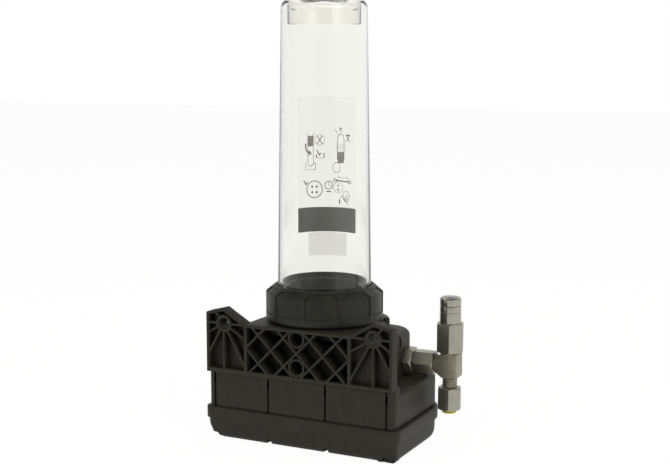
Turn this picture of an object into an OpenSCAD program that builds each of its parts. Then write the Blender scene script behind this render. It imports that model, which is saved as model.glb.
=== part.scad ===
// Electric grease pump with a clear reservoir tube on a moulded housing.
// The base stands on z = 0, the tube axis is the Z axis and +Y is the wall side.

/* [Mounting plate] */
// Width of the mounting plate
plate_w = 131; // [122:1:140]
// Distance between the two mounting holes
hole_pitch = 105; // [95:1:112]
// Diameter of each mounting hole
hole_d = 7; // [5:0.5:8]
// Outer diameter of the boss around each mounting hole
hole_boss_d = 11.2; // [10:0.2:13]
// Depth of the plate from the wall face to its back
plate_t = 7.8; // [6:0.2:10]
// Distance of the wall face from the tube axis
wall_y = 39.5; // [39:0.5:44]
// Height of the plate's lower edge above the base
plate_z = 44.5; // [42:0.5:48]
// Height of the ear's outer corner above the deck
ear_side_h = 6.2; // [4:0.2:8]
// Height of the ear's peak above the deck
ear_peak_h = 9.6; // [8:0.2:12]
// Distance between the lattice crossings
lattice_p = 9.12; // [8.4:0.02:9.6]
// Thickness of the thin ribs
rib_t = 1.4; // [1:0.1:2]
// Thickness of the plate's outer rim
rim_t = 2; // [1.6:0.1:2.6]

/* [Housing] */
// Width of the housing skirt
skirt_w = 131.6; // [128:0.4:133]
// Distance of the rear wall from the tube axis
rear_y = 37; // [36.5:0.5:38]
// Distance of the front wall from the tube axis
front_y = 43; // [42:0.5:50]
// Height of the skirt's top above the base
skirt_z = 41.5; // [39:0.5:43]
// Width of the upper block
block_w = 98; // [96:1:106]
// Height of the upper block's shoulders above the base
block_z = 69; // [67:0.5:73]
// Width of the deck under the collar nut
deck_w = 78; // [77:1:84]
// Height of the deck above the base
deck_z = 76.7; // [75:0.1:80]
// Wall thickness of the mouldings
wall = 2.5; // [2:0.1:3]

/* [Cover] */
// Height of the lower cover
cover_h = 20.3; // [18:0.1:22]
// Width of the cover's rim band
band_w = 137; // [134:0.5:140]
// Height of the rim band
band_h = 8; // [6:0.5:9]
// Radius of the cover's lower edges
cover_r = 3.5; // [2:0.5:4]
// Radius of the cover's lower edge at the front
cover_front_r = 8; // [6:0.5:9]
// Radius of the cover's lower edge at the connector side
cover_end_r = 11; // [8:0.5:12]
// Thickness of the cover gasket
gasket_t = 0.9; // [0.6:0.1:1.2]
// Diameter of the cover screws' heads
cover_head_d = 5.4; // [4.6:0.1:5.8]

/* [Reservoir] */
// Outer diameter of the tube at the collar
tube_d = 60.4; // [59:0.2:61]
// Outer diameter of the tube near its top
tube_top_d = 54.4; // [50:0.2:58]
// Wall thickness of the tube
tube_wall = 2; // [1.6:0.1:2.4]
// Height of the tube's top above the base
tube_z = 281; // [240:1:300]
// Outer diameter of the ring inside the tube's top
cup_d = 46.4; // [40:0.2:48]
// Height of the ring inside the tube's top
cup_h = 15; // [8:0.5:20]
// Bore of the cartridge socket
socket_bore_d = 50.4; // [46:0.2:51]
// Outer diameter of the cartridge socket
socket_d = 54.8; // [54:0.2:55]
// Height of the cartridge socket's rim above the deck
socket_h = 23.4; // [20:0.2:26]

/* [Collar nut] */
// Wall of the collar nut outside its thread
collar_wall = 3.35; // [2.9:0.05:3.5]
// Height of the collar nut's straight side
collar_side_h = 17.5; // [16:0.5:19]
// Height of the collar nut's sloped shoulder
collar_slope_h = 4.8; // [4:0.2:6]
// Number of grip panels around the nut
grip_n = 10; // [8:1:14]
// Width of the bars between the grip panels
grip_bar = 2; // [1.4:0.2:4]
// Depth of the grip panels
grip_depth = 0.7; // [0.4:0.1:0.9]

/* [Outlet fittings] */
// Distance of the outlet axis in front of the tube axis
outlet_y = 20.7; // [19:0.1:22]
// Height of the outlet axis above the base
outlet_z = 50.5; // [49:0.1:52]
// Distance of the tee's axis from the cover's rim band
tee_out = 10.5; // [10:0.5:14]
// Width across flats of the pump element's hexagon
element_af = 16; // [15:0.5:17]
// Width across flats of the union nuts
nut_af = 14; // [14:0.5:15]
// Width across flats of the relief valve's hexagon
valve_af = 16; // [15:0.5:17]
// Thickness of the tee's body
tee_t = 10.6; // [10.4:0.1:13]
// Width of the tee's body
tee_w = 13; // [12:0.2:14]
// Height of the tee's body
tee_h = 16.2; // [15.8:0.2:18]
// Length of the pump element's hexagon
element_hex_l = 5.8; // [5:0.2:6.4]
// Length of the relief valve's hexagon
valve_hex_h = 18.7; // [16:0.1:20]
// Diameter of the relief valve's round end
valve_d = 13.6; // [12:0.2:14]
// Length of the relief valve's round end
valve_round_h = 17.3; // [15:0.1:20]
// Length of the outlet nut
outlet_nut_h = 14.3; // [13:0.1:16]

/* [Drive] */
// Diameter of the motor can
motor_d = 28; // [24:0.5:29]
// Length of the motor can
motor_l = 34; // [30:0.5:36]
// Height of the motor axis above the base
motor_z = 24.5; // [24:0.1:25.5]
// Distance of the drive shaft from the tube axis
shaft_x = 8; // [7.5:0.1:9]
// Diameter of the drive shaft
shaft_d = 8; // [7:0.2:8.4]
// Number of teeth on the worm wheel
wheel_teeth = 40; // [36:1:40]
// Eccentricity of the cam
cam_offset = 1.5; // [1:0.1:1.6]
// Outer diameter of the cam ring
cam_ring_d = 17; // [15.5:0.1:17]
// Diameter of the pump piston
piston_d = 6; // [5:0.1:6.4]

/* [Hidden] */

// Shared clearances and the overrun of every cut
over = 1;
gap = 0.3;
seat = 0.1;
run = 0.05;
round_n = 96;
small_n = 48;
hull_n = 32;
$fn = round_n;

// Levels that the housing, the cover and the gasket share
seam_z = cover_h + gasket_t;
skirt_half = skirt_w / 2;
roof_z = skirt_z - wall;
band_half = band_w / 2;
block_half = block_w / 2;
rear_r = 4;
front_r = 20;
skirt_front_r = 17;
block_front_r = 18;
block_front = front_y - wall;
deck_front = block_front - wall / 4;
deck_front_r = 30;
plate_back = wall_y - plate_t;

// Mounting plate
hole_r = hole_d / 2;
hole_boss_r = hole_boss_d / 2;
hole_x = hole_pitch / 2;
hole_drop = 0.6;
hole_z = deck_z - hole_drop;
post_x = 4 * lattice_p;
lattice_rise = 17.3;
lattice_z = plate_z + lattice_rise;
lattice_depth = 12;
panel_t = 1.8;
floor_t = 1;
knot_r = 1.1;
ring_r = 5.75;
ring_t = 1.3;
post_t = 2.1;
spoke_angles = [0, 130, 180, 210, 240, 270, 300, 330];
lattice_lines = 3;
lattice_reach = 4 * lattice_p;
lip_h = 0.8;
lip_x = 2.4;
plate_outline = [[plate_w / 2, plate_z], [plate_w / 2, deck_z + ear_side_h],
                 [hole_x, deck_z + ear_peak_h], [post_x, deck_z], [-post_x, deck_z],
                 [-hole_x, deck_z + ear_peak_h], [-plate_w / 2, deck_z + ear_side_h],
                 [-plate_w / 2, plate_z]];

// Rear wall grooves and the cover screws that stand below them
groove_w = 1.5;
groove_d = 1.6;
groove_inner = 20.2;
groove_shift = 1.2;
screw_x_inner = 20.3;
screw_x_outer = 60.6;
groove_places = [-screw_x_outer, groove_shift - groove_inner, groove_shift + groove_inner,
                 screw_x_outer];
screw_margin = 5;
screw_corner_margin = 12;
screw_rear_y = rear_y - screw_margin;
screw_front_y = front_y - screw_margin;
screw_front_x = 52;
screw_corner_y = front_y - screw_corner_margin;
screw_r = 1.5;
screw_grip = 10;
screw_head_h = 2;
head_r = cover_head_d / 2;
boss_r = 3.6;
recess_z = 4;
screw_l = seam_z + screw_grip - recess_z;
screw_places = [[screw_x_inner, screw_rear_y], [-screw_x_inner, screw_rear_y],
                [screw_x_outer, screw_rear_y], [-screw_x_outer, screw_rear_y],
                [screw_x_inner, -screw_front_y], [-screw_x_inner, -screw_front_y],
                [screw_front_x, -screw_corner_y], [-screw_front_x, -screw_corner_y]];

// Cover
band_out = 1.2;
band_rear = rear_y + band_out;
band_front = front_y + band_out;
band_step = 1.6;
band_rear_step = 0.5;
cover_half = band_half - band_step;
cover_rear = band_rear - band_rear_step;
cover_front = band_front - band_step;
cover_floor = 3;
inner_inset = 3.2;
inner_rise = 9;
inner_end_inset = 6;
cover_plan_r = 5;
edge_steps = 6;
edge_angle = 90 / edge_steps;
foot_w = 7;
foot_l = 9;
foot_h = 4;
foot_back = 1;
notch_w = 4.4;
notch_h = 3;
notch_d = 2.4;

// Reservoir and collar
tube_r = tube_d / 2;
tube_top_r = tube_top_d / 2;
tube_play = 0.5;
ring_in_r = tube_r + tube_play;
ring_wall = 3.7;
ring_out_r = ring_in_r + ring_wall;
ring_h = 13;
ring_z = deck_z + ring_h;
seal_t = 1.2;
flange_t = 2.8;
flange_z = ring_z + seal_t;
flange_r = ring_out_r - gap;
tube_lift = 3;
tube_foot_z = deck_z + tube_lift;
socket_r = socket_d / 2;
socket_bore_r = socket_bore_d / 2;
socket_z = deck_z + socket_h;
socket_floor_z = 65;
tube_round = 3.5;
collar_lift = 1.3;
collar_z = deck_z + collar_lift;
collar_bore_r = ring_out_r + run;
collar_r = collar_bore_r + collar_wall;
collar_lip_z = flange_z + flange_t + gap;
collar_lip_r = tube_r + tube_play;
collar_side_z = collar_z + collar_side_h;
collar_top_z = collar_side_z + collar_slope_h;
collar_land = 0.9;
collar_edge = 1;
collar_top_r = collar_lip_r + collar_land;
grip_low = 4.6;
grip_high = 1.6;
grip_phase = 23.8;

// Label and sticker on the tube
label_t = 0.15;
label_w = 39.5;
label_h = 89.5;
label_z = 129.5;
label_turn = -62;
sticker_w = 27;
sticker_h = 15.5;

// Grease chamber and the drive below it
axis_y = -outlet_y;
chamber_r = 13;
chamber_wall = 3;
chamber_z = 42;
partition_z = 38;
block_floor_z = 61;
block_rear_y = wall_y - lattice_depth - wall;
shaft_r = shaft_d / 2;
cam_h = 7;
cam_ring_t = 2;
cam_ring_r = cam_ring_d / 2;
cam_r = cam_ring_r - cam_ring_t - run;
shaft_end = 3;
shaft_top_z = outlet_z + cam_h / 2 + shaft_end;
bush_r = shaft_r + wall;
bush_z = partition_z - wall;
seal_h = 3;
bush_h = chamber_z - seal_h - bush_z;
worm_root_r = 3.4;
worm_thread_h = 1.6;
worm_r = worm_root_r + worm_thread_h;
mesh_depth = 1.3;
wheel_r = outlet_y - worm_r + mesh_depth;
wheel_tooth = 1.7;
wheel_sink = 0.5;
wheel_hole_r = 2.4;
wheel_holes = 6;
wheel_root_r = wheel_r - wheel_tooth;
wheel_h = 6;
pitch_r = wheel_r - mesh_depth / 2;
worm_pitch = 2 * PI * pitch_r / wheel_teeth;
tooth_share = 0.34;
tooth_tip_share = 0.2;
worm_base_share = 0.4;
worm_tip_share = 0.2;
worm_l = 5.5 * worm_pitch;
worm_points = 24;
worm_slices = 88;
bearing_z = 13;
bearing_t = 3;
bearing_r = 5.5;
pillar_r = 3.4;
pillar_gap = 1.1;
pillar_drop = 6;
pillar_reach = wheel_r + pillar_r + pillar_gap;
pillar_places = [[-shaft_x - pillar_reach + wall, -pillar_gap],
                 [-shaft_x - pillar_reach, axis_y - pillar_drop],
                 [-shaft_x + pillar_reach, axis_y - pillar_drop]];
pillar_screw_l = 9;
foot_bush_t = 1.5;
foot_bush_r = shaft_r + foot_bush_t;
shaft_foot_z = bearing_z - foot_bush_t;
motor_r = motor_d / 2;
motor_face_x = 10;
motor_axle_r = 1.6;
motor_nose_r = 4.5;
motor_nose_l = 2;
can_t = 1.2;
bulkhead_t = 3;
bulkhead_half = motor_r - bulkhead_t;
motor_screw_share = 0.58;
worm_bush_gap = 3;
worm_bush_x = -shaft_x - worm_l / 2 - worm_bush_gap;
worm_bush_l = 4;
worm_bush_r = 3.4;
cap_l = 6;
motor_screw_angles = [0, 180];
magnet_t = 3.2;
magnet_gap = 4;
magnet_in_r = motor_r - can_t - magnet_t;
magnet_l = motor_l - cap_l - can_t - 2 * magnet_gap;
air_gap = 0.5;
rotor_r = magnet_in_r - air_gap;
rotor_reach_share = 0.92;
commutator_l = 3;
shaft_tip = 0.5;
terminal_x = motor_r * 0.55;
terminal_y = motor_r * 0.4;
terminal_t = 0.8;
terminal_w = 3;
terminal_out = 2;

// Pump element and outlet
element_x = block_half;
tee_x = band_half + tee_out;
element_r = 7;
element_in_l = 19;
element_in_x = element_x - element_in_l;
washer_t = 0.5;
washer_land = 0.9;
washer_r = element_r + washer_land;
hex_x = element_x + washer_t;
hex_end_x = hex_x + element_hex_l;
hex_chamfer = 2;
hex_slope_share = 0.6;
nut_chamfer = 1;
stud_r = 5.4;
stud_in_r = 3;
tee_arm = 9.3;
tee_arm_x = tee_x - tee_arm;
union_gap = 0.4;
union_x = hex_end_x + gap;
union_l = tee_arm_x - union_gap - union_x;
union_turn = 0;
stud_l = 8;
stud_end_x = union_x + stud_l;
stroke = 2 * cam_offset;
piston_r = piston_d / 2;
piston_head_x = shaft_x + cam_ring_r + cam_offset + gap;
piston_head_r = 5;
piston_head_t = 2;
piston_in_l = 12.5;
piston_end_x = element_in_x + piston_in_l;
element_bore_end = piston_end_x + stroke + gap;
wire_d = 0.8;
spring_r = 4.4;
spring_turns = 4;
ball_r = 2;
seat_r = 1.2;
seat_l = 1.4;
ball_seat = sqrt(ball_r * ball_r - seat_r * seat_r) + run;
ball_x = element_bore_end + seat_l + ball_seat;
check_plug_l = 3;
check_plug_bore_r = 1;
check_wire_d = 0.5;
check_spring_r = 2.3;
check_turns = 5;
tee_bore_r = 2;
neck_r = 4.9;
tee_neck_l = 9;
tee_chamfer = 5.4;
tee_edge_h = 3.9;
tee_edge = 1;
tee_low_z = outlet_z - tee_h / 2;
tee_high_z = outlet_z + tee_h / 2;
valve_gap = 0.4;
valve_z = tee_high_z + valve_gap;
valve_neck_r = 4.6;
valve_neck_l = 6;
valve_bore_r = 3.6;
valve_turn = 46;
valve_floor = 2;
valve_groove_w = 0.7;
valve_groove_l = 11;
valve_groove_z = valve_z + valve_hex_h + valve_groove_l;
valve_cap_z = valve_groove_z + valve_groove_w;
valve_top_z = valve_z + valve_hex_h + valve_round_h;
valve_spigot = 3;
cap_edge = 0.9;
cap_disc_h = 0.5;
cap_disc_share = 0.55;
relief_wire_d = 0.9;
relief_spring_r = 2.6;
relief_turns = 9;
relief_ball_z = valve_z + valve_floor + ball_seat;
nut_reach = 2.6;
outlet_nut_z = tee_low_z - tee_neck_l + nut_reach - outlet_nut_h;
outlet_bore_r = 3.1;
plug_r = 4.6;
plug_h = 2.4;
plug_pin_l = 9;

// Electrical side
socket_side_x = block_half;
socket_side_z = 55.5;
socket_side_y = 4;
plug_body_r = 9;
plug_in_r = 7;
plug_l = 16;
plug_flange_r = 12;
plug_flange_t = 2.5;
pin_r = 0.9;
pin_place_r = 3.4;
pin_count = 4;
pin_l = 17.5;
lug_r = 1.4;
lug_l = 4;
board_z = 5;
board_t = 1.6;
board_w = 86;
board_back = 25;
board_front = 30;
board_post_r = 3;
board_margin = 4;
board_hole_x = board_w / 2 - board_margin;
board_places = [[board_hole_x, board_back - board_margin],
                [-board_hole_x, board_back - board_margin],
                [board_hole_x, board_margin - board_front],
                [-board_hole_x, board_margin - board_front]];
board_screw_head_h = 1.6;
board_screw_l = 4.6;
board_top_z = board_z + board_t;
capacitor_r = 4;
capacitor_h = 12;
capacitor_place = [26, board_back - 7];
relay_size = [19, 10, 11];
relay_place = [-16, board_back - 12];
chip_size = [9, 9, 1.4];
chip_inset = 9;
chip_place = [chip_inset - board_w / 2, -2];

// A plan with its own corner radius at the rear and at the front
module rounded_plan(half, rear, front, r_rear, r_front) {
    mid = rear - r_rear;
    translate([-half + r_front, -front]) square([2 * (half - r_front), front]);
    translate([-half, -front + r_front]) square([2 * half, front - r_front + mid]);
    translate([-half + r_rear, 0]) square([2 * (half - r_rear), rear]);
    for (s = [-1, 1]) {
        translate([s * (half - r_front), -front + r_front]) circle(r = r_front);
        translate([s * (half - r_rear), mid]) circle(r = r_rear);
    }
}

module rounded_prism(half, rear, front, r_rear, r_front, low, high) {
    translate([0, 0, low])
        linear_extrude(high - low)
            rounded_plan(half, rear, front, r_rear, r_front);
}

// A cylinder along X that starts at x and runs towards -X
module rod_out(r, x, l) {
    translate([-x, 0, 0]) rotate([0, -90, 0]) cylinder(r = r, h = l);
}

module tube_z(r_out, r_in, low, high) {
    translate([0, 0, low])
        difference() {
            cylinder(r = r_out, h = high - low);
            translate([0, 0, -over]) cylinder(r = r_in, h = high - low + 2 * over);
        }
}

module at_outlet() {
    translate([0, axis_y, outlet_z]) children();
}

// Hexagonal bar along +Z, with each end cut by a cone of its own depth
module hex_bar(af, h, low, high) {
    corner = af / 2 / cos(30);
    intersection() {
        linear_extrude(h) circle(r = corner, $fn = 6);
        rotate_extrude()
            polygon([[0, 0], [corner - low, 0], [corner, low * hex_slope_share],
                     [corner, h - high * hex_slope_share], [corner - high, h], [0, h]]);
    }
}

// Coil spring along +Z as a stack of closed rings joined by its own pitch
module coil(r, wire, turns, h) {
    pitch = (h - wire) / (turns - 1);
    for (i = [0 : turns - 1])
        translate([0, 0, wire / 2 + i * pitch])
            rotate_extrude($fn = small_n) translate([r, 0]) circle(d = wire, $fn = 16);
}

// Mounting plate, drawn in X and Z and raised to its wall face
function inset_line(a, b, d) =
    let (v = b - a, n = [-v[1], v[0]] / norm(v)) [a + n * d, b + n * d];
function meet(p, q) =
    let (r = p[1] - p[0], s = q[1] - q[0], k = r[0] * s[1] - r[1] * s[0], w = q[0] - p[0])
        p[0] + r * ((w[0] * s[1] - w[1] * s[0]) / k);
function inset(points, d) =
    let (n = len(points))
        [for (i = [0 : n - 1])
            meet(inset_line(points[(i + n - 1) % n], points[i], d),
                 inset_line(points[i], points[(i + 1) % n], d))];

module upright(from_y, to_y) {
    translate([0, to_y, 0]) rotate([90, 0, 0]) linear_extrude(to_y - from_y) children();
}

module bar(from, angle, l, t) {
    translate(from) rotate(angle) translate([0, -t / 2]) square([l, t]);
}

module lattice_ribs() {
    for (k = [-lattice_lines : lattice_lines])
        for (a = [45, 135])
            translate([2 * k * lattice_p, lattice_z]) rotate(a)
                translate([-lattice_reach, -rib_t / 2]) square([2 * lattice_reach, rib_t]);
}

module ear_ribs() {
    for (a = spoke_angles)
        bar([0, 0], 180 - a, plate_w / 3, rib_t);
}

module plate_ribs() {
    intersection() {
        polygon(inset(plate_outline, rim_t / 2));
        union() {
            intersection() {
                lattice_ribs();
                translate([-post_x, plate_z]) square([2 * post_x, deck_z - plate_z]);
            }
            for (s = [-1, 1]) {
                translate([s * post_x - post_t / 2, plate_z]) square([post_t, deck_z - plate_z]);
                intersection() {
                    translate([s * hole_x, hole_z]) mirror([s < 0 ? 1 : 0, 0]) ear_ribs();
                    translate([s > 0 ? post_x : -plate_w / 2 - over, plate_z])
                        square([plate_w / 2 + over - post_x, deck_z]);
                }
            }
            for (z = [lattice_z - lattice_p, lattice_z + lattice_p])
                translate([0, z]) circle(r = ring_r);
            translate([0, lattice_z]) circle(r = knot_r, $fn = small_n);
        }
    }
    for (s = [-1, 1])
        translate([s * hole_x, hole_z]) circle(r = hole_boss_r);
}

module mounting_plate() {
    difference() {
        upright(plate_back, wall_y) polygon(plate_outline);
        upright(plate_back + panel_t, wall_y + over) polygon(inset(plate_outline, rim_t));
    }
}

module well_section() {
    translate([-post_x + post_t / 2, plate_z + rim_t])
        square([2 * post_x - post_t, deck_z - plate_z - 2 * rim_t]);
}

module lattice_well() {
    upright(wall_y - lattice_depth, plate_back + panel_t + over) well_section();
}

// The wall plate's node takes the surface of the well's floor with it, as carried by its ribs
module well_floor() {
    upright(wall_y - lattice_depth - floor_t, wall_y - lattice_depth) well_section();
}

module plate_lip() {
    translate([lip_x, wall_y - plate_t / 2, plate_z - lip_h])
        cube([plate_w / 2 - lip_x, plate_t / 2, rim_t]);
}

// The housing is one moulding. Its five nodes meet face to face, so that each hollow stays open
// to collision
module plate_space() {
    upright(plate_back, wall_y) polygon(plate_outline);
    lattice_well();
    well_floor();
    plate_lip();
}

module rear_grooves() {
    for (x = groove_places)
        translate([x - groove_w / 2, rear_y - groove_d, seam_z - over])
            cube([groove_w, groove_d + over, plate_z - seam_z + over]);
}

module skirt_cavity() {
    rounded_prism(skirt_half - wall, rear_y - groove_d - wall, front_y - wall, rear_r / 2,
                  skirt_front_r - wall, seam_z - over, roof_z);
}

module block_cavity() {
    difference() {
        rounded_prism(block_half - wall, block_rear_y, block_front - wall, rib_t,
                      block_front_r - wall, roof_z - over, block_floor_z);
        translate([-shaft_x, axis_y, roof_z - 2 * over])
            cylinder(r = chamber_r + chamber_wall, h = block_floor_z);
        at_outlet() rod_out(element_r + chamber_wall, shaft_x, block_half - shaft_x);
    }
}

module housing_skirt() {
    color("#33322e")
        difference() {
            rounded_prism(skirt_half, rear_y, front_y, rear_r, skirt_front_r, seam_z, roof_z);
            difference() {
                skirt_cavity();
                for (p = screw_places)
                    translate([p[0], p[1], seam_z - 2 * over])
                        cylinder(r = boss_r, h = skirt_z, $fn = small_n);
            }
            for (p = screw_places)
                translate([p[0], p[1], seam_z - over])
                    cylinder(r = screw_r + seat, h = screw_grip + over + gap, $fn = small_n);
            rear_grooves();
        }
}

module housing_block() {
    color("#33322e")
        difference() {
            union() {
                rounded_prism(skirt_half, rear_y, front_y, rear_r, skirt_front_r, roof_z,
                              skirt_z);
                intersection() {
                    rounded_prism(skirt_half, rear_y, front_y, rear_r, skirt_front_r, roof_z,
                                  plate_z + rim_t);
                    translate([-skirt_half, plate_back - wall, roof_z])
                        cube([skirt_w, rear_y, plate_z + rim_t - roof_z]);
                }
                rounded_prism(block_half, plate_back + rib_t, block_front, rib_t,
                              block_front_r, roof_z, socket_floor_z);
            }
            block_cavity();
            plate_space();
            translate([-shaft_x, axis_y, chamber_z])
                cylinder(r = chamber_r, h = socket_floor_z);
            translate([-shaft_x, axis_y, bush_z]) cylinder(r = bush_r + seat, h = chamber_z);
            at_outlet() rod_out(element_r + seat, shaft_x, tee_x);
            rear_grooves();
            translate([socket_side_x + over, socket_side_y, socket_side_z]) rotate([0, -90, 0])
                cylinder(r = plug_body_r + seat, h = 2 * wall + over);
        }
}

module housing_deck() {
    color("#33322e")
        difference() {
            union() {
                rounded_prism(block_half, plate_back + rib_t, block_front, rib_t,
                              block_front_r, socket_floor_z, block_z);
                rounded_prism(deck_w / 2, plate_back + rib_t, deck_front, rib_t, deck_front_r,
                              block_z - wall, deck_z);
                translate([0, 0, block_z - wall])
                    cylinder(r = socket_r, h = socket_z - block_z + wall);
                tube_z(ring_out_r, ring_in_r, deck_z - over, ring_z);
            }
            plate_space();
            translate([0, 0, socket_floor_z - over]) cylinder(r = socket_bore_r, h = tube_z);
        }
}

module housing_plate() {
    color("#33322e")
        difference() {
            union() {
                difference() {
                    mounting_plate();
                    lattice_well();
                }
                upright(plate_back + rib_t / 2, wall_y) plate_ribs();
                upright(wall_y - lattice_depth - floor_t / 2, plate_back + rib_t)
                    intersection() {
                        plate_ribs();
                        well_section();
                    }
                well_floor();
                plate_lip();
            }
            for (s = [-1, 1])
                translate([s * hole_x, wall_y + over, hole_z]) rotate([90, 0, 0])
                    cylinder(r = hole_r, h = plate_t + 2 * over);
            for (z = [lattice_z - lattice_p, lattice_z + lattice_p])
                translate([0, wall_y + over, z]) rotate([90, 0, 0])
                    cylinder(r = ring_r - ring_t, h = lattice_depth + over);
        }
}

module carrier_stock() {
    top = block_floor_z + wall;
    for (p = pillar_places)
        translate([p[0], p[1], bearing_z + bearing_t])
            cylinder(r = pillar_r, h = top - bearing_z - bearing_t, $fn = small_n);
    translate([motor_face_x - bulkhead_t, -bulkhead_half, motor_z - bulkhead_half])
        cube([bulkhead_t, 2 * bulkhead_half, top - motor_z + bulkhead_half]);
    translate([worm_bush_x - worm_bush_l, -2 * worm_bush_r, motor_z - worm_bush_r])
        cube([worm_bush_l, 4 * worm_bush_r, top - motor_z + worm_bush_r]);
    translate([-shaft_x, axis_y, bush_z]) cylinder(r = bush_r + wall, h = chamber_z - bush_z);
}

module housing_carriers() {
    color("#33322e")
        difference() {
            intersection() {
                carrier_stock();
                union() {
                    skirt_cavity();
                    block_cavity();
                }
            }
            translate([-shaft_x, axis_y, bush_z - over])
                cylinder(r = bush_r + seat, h = chamber_z - bush_z + 2 * over);
            rotate([0, 90, 0])
                translate([-motor_z, 0, motor_face_x - bulkhead_t - over])
                    cylinder(r = motor_nose_r + seat, h = bulkhead_t + 2 * over);
            translate([worm_bush_x - worm_bush_l - over, 0, motor_z])
                rotate([0, 90, 0]) cylinder(r = worm_bush_r + seat, h = worm_bush_l + 2 * over);
            at_motor()
                for (a = motor_screw_angles)
                    rotate([0, 0, a])
                        translate([motor_r * motor_screw_share, 0, -bulkhead_t - over])
                            cylinder(r = screw_r, h = bulkhead_t + 2 * over, $fn = small_n);
            for (p = pillar_places)
                translate([p[0], p[1], bearing_z])
                    cylinder(r = screw_r, h = pillar_screw_l + gap, $fn = small_n);
        }
}

// How far a rounded edge of radius r stands back at height h
function edge_back(h, r) = h < r ? r - sqrt(r * r - (r - h) * (r - h)) : 0;

module cover_slice(h, t) {
    back = edge_back(h, cover_r);
    end_back = edge_back(h, cover_end_r);
    front = cover_front - edge_back(h, cover_front_r);
    translate([(back - end_back) / 2, 0, 0])
        rounded_prism(cover_half - (back + end_back) / 2, cover_rear - back, front,
                      cover_plan_r, front_r, h, h + t, $fn = hull_n);
}

module cover_shell() {
    difference() {
        union() {
            hull() {
                for (i = [0 : edge_steps - 1])
                    cover_slice(cover_end_r * (1 - cos(i * edge_angle)), run);
                cover_slice(cover_end_r, cover_h - band_h - cover_end_r);
            }
            rounded_prism(band_half, band_rear, band_front, cover_plan_r, front_r + 1,
                          cover_h - band_h, cover_h);
            translate([-cover_half + foot_back, cover_rear - foot_l - foot_back, 0])
                cube([foot_w, foot_l, foot_h]);
        }
        translate([-inner_end_inset / 2, 0, 0])
            rounded_prism(cover_half - inner_inset - inner_end_inset / 2,
                          cover_rear - inner_inset, cover_front - inner_inset - wall,
                          rear_r, front_r - inner_inset, cover_floor, cover_h + over);
        rounded_prism(cover_half - inner_inset, cover_rear - inner_inset,
                      cover_front - inner_inset, rear_r, front_r - inner_inset,
                      inner_rise, cover_h + over);
        for (x = groove_places)
            translate([x - notch_w / 2, cover_rear - notch_d, -over])
                cube([notch_w, notch_d + over, notch_h + over]);
    }
}

module lower_cover() {
    color("#33322e")
        difference() {
            union() {
                cover_shell();
                intersection() {
                    rounded_prism(cover_half - wall, cover_rear - wall, cover_front - wall,
                                  rear_r, front_r - wall, cover_floor - over, cover_h);
                    for (p = screw_places)
                        translate([p[0], p[1], cover_floor - over])
                            cylinder(r = boss_r + 1, h = cover_h - cover_floor + over,
                                     $fn = small_n);
                }
                for (p = board_places)
                    translate([p[0], p[1], cover_floor - over])
                        cylinder(r = board_post_r, h = board_z - cover_floor + over,
                                 $fn = small_n);
            }
            for (p = screw_places)
                translate([p[0], p[1], -over]) {
                    cylinder(r = screw_r + seat + run, h = cover_h + 2 * over, $fn = small_n);
                    cylinder(r = head_r + gap, h = recess_z + over, $fn = small_n);
                }
            for (p = board_places)
                translate([p[0], p[1], cover_floor / 2]) cylinder(r = screw_r - gap, h = cover_h,
                                                                  $fn = small_n);
        }
}

module cover_gasket() {
    color("#1c1c1a")
        difference() {
            rounded_prism(skirt_half - gap, rear_y - gap, front_y - gap, rear_r, skirt_front_r,
                          cover_h, seam_z);
            rounded_prism(skirt_half - wall, rear_y - groove_d - wall / 2, front_y - wall,
                          rear_r / 2, skirt_front_r - wall, cover_h - over, seam_z + over);
            for (x = groove_places)
                translate([x - groove_w, rear_y - groove_d, cover_h - over])
                    cube([2 * groove_w, groove_d, gasket_t + 2 * over]);
        }
}

module screw(r, l, r_head, h_head) {
    difference() {
        union() {
            cylinder(r = r_head, h = h_head, $fn = small_n);
            cylinder(r = r, h = l, $fn = small_n);
        }
        translate([0, 0, -over]) cylinder(r = r_head / 2, h = h_head / 2 + over, $fn = 6);
    }
}

module cover_screws() {
    color("#8d8b83")
        for (p = screw_places)
            translate([p[0], p[1], recess_z - screw_head_h])
                screw(screw_r, screw_l + screw_head_h, head_r, screw_head_h);
}

module reservoir_tube() {
    slope = (tube_r - tube_top_r) / (tube_z - ring_z);
    wall_in = tube_r - tube_wall;
    top_in = tube_top_r - tube_wall;
    color([0.9, 0.91, 0.88, 0.35]) {
        rotate_extrude()
            polygon(concat(
                [[wall_in, tube_foot_z], [tube_r, tube_foot_z], [tube_r, flange_z],
                 [flange_r, flange_z], [flange_r, flange_z + flange_t],
                 [tube_r, flange_z + flange_t]],
                [for (a = [0 : 15 : 90])
                    [tube_top_r - tube_round * (1 - cos(a)),
                     tube_z - tube_round * (1 - sin(a))]],
                [[0, tube_z], [0, tube_z - tube_wall], [cup_d / 2 - tube_wall, tube_z - tube_wall],
                 [cup_d / 2 - tube_wall, tube_z - cup_h], [cup_d / 2, tube_z - cup_h],
                 [cup_d / 2, tube_z - tube_wall], [top_in - tube_wall, tube_z - tube_wall],
                 [top_in, tube_z - 2 * tube_wall], [wall_in, ring_z]]));
    }
}

module tube_seal() {
    color("#1c1c1a") tube_z(ring_out_r - gap, ring_in_r + gap, ring_z, flange_z);
}

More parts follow.
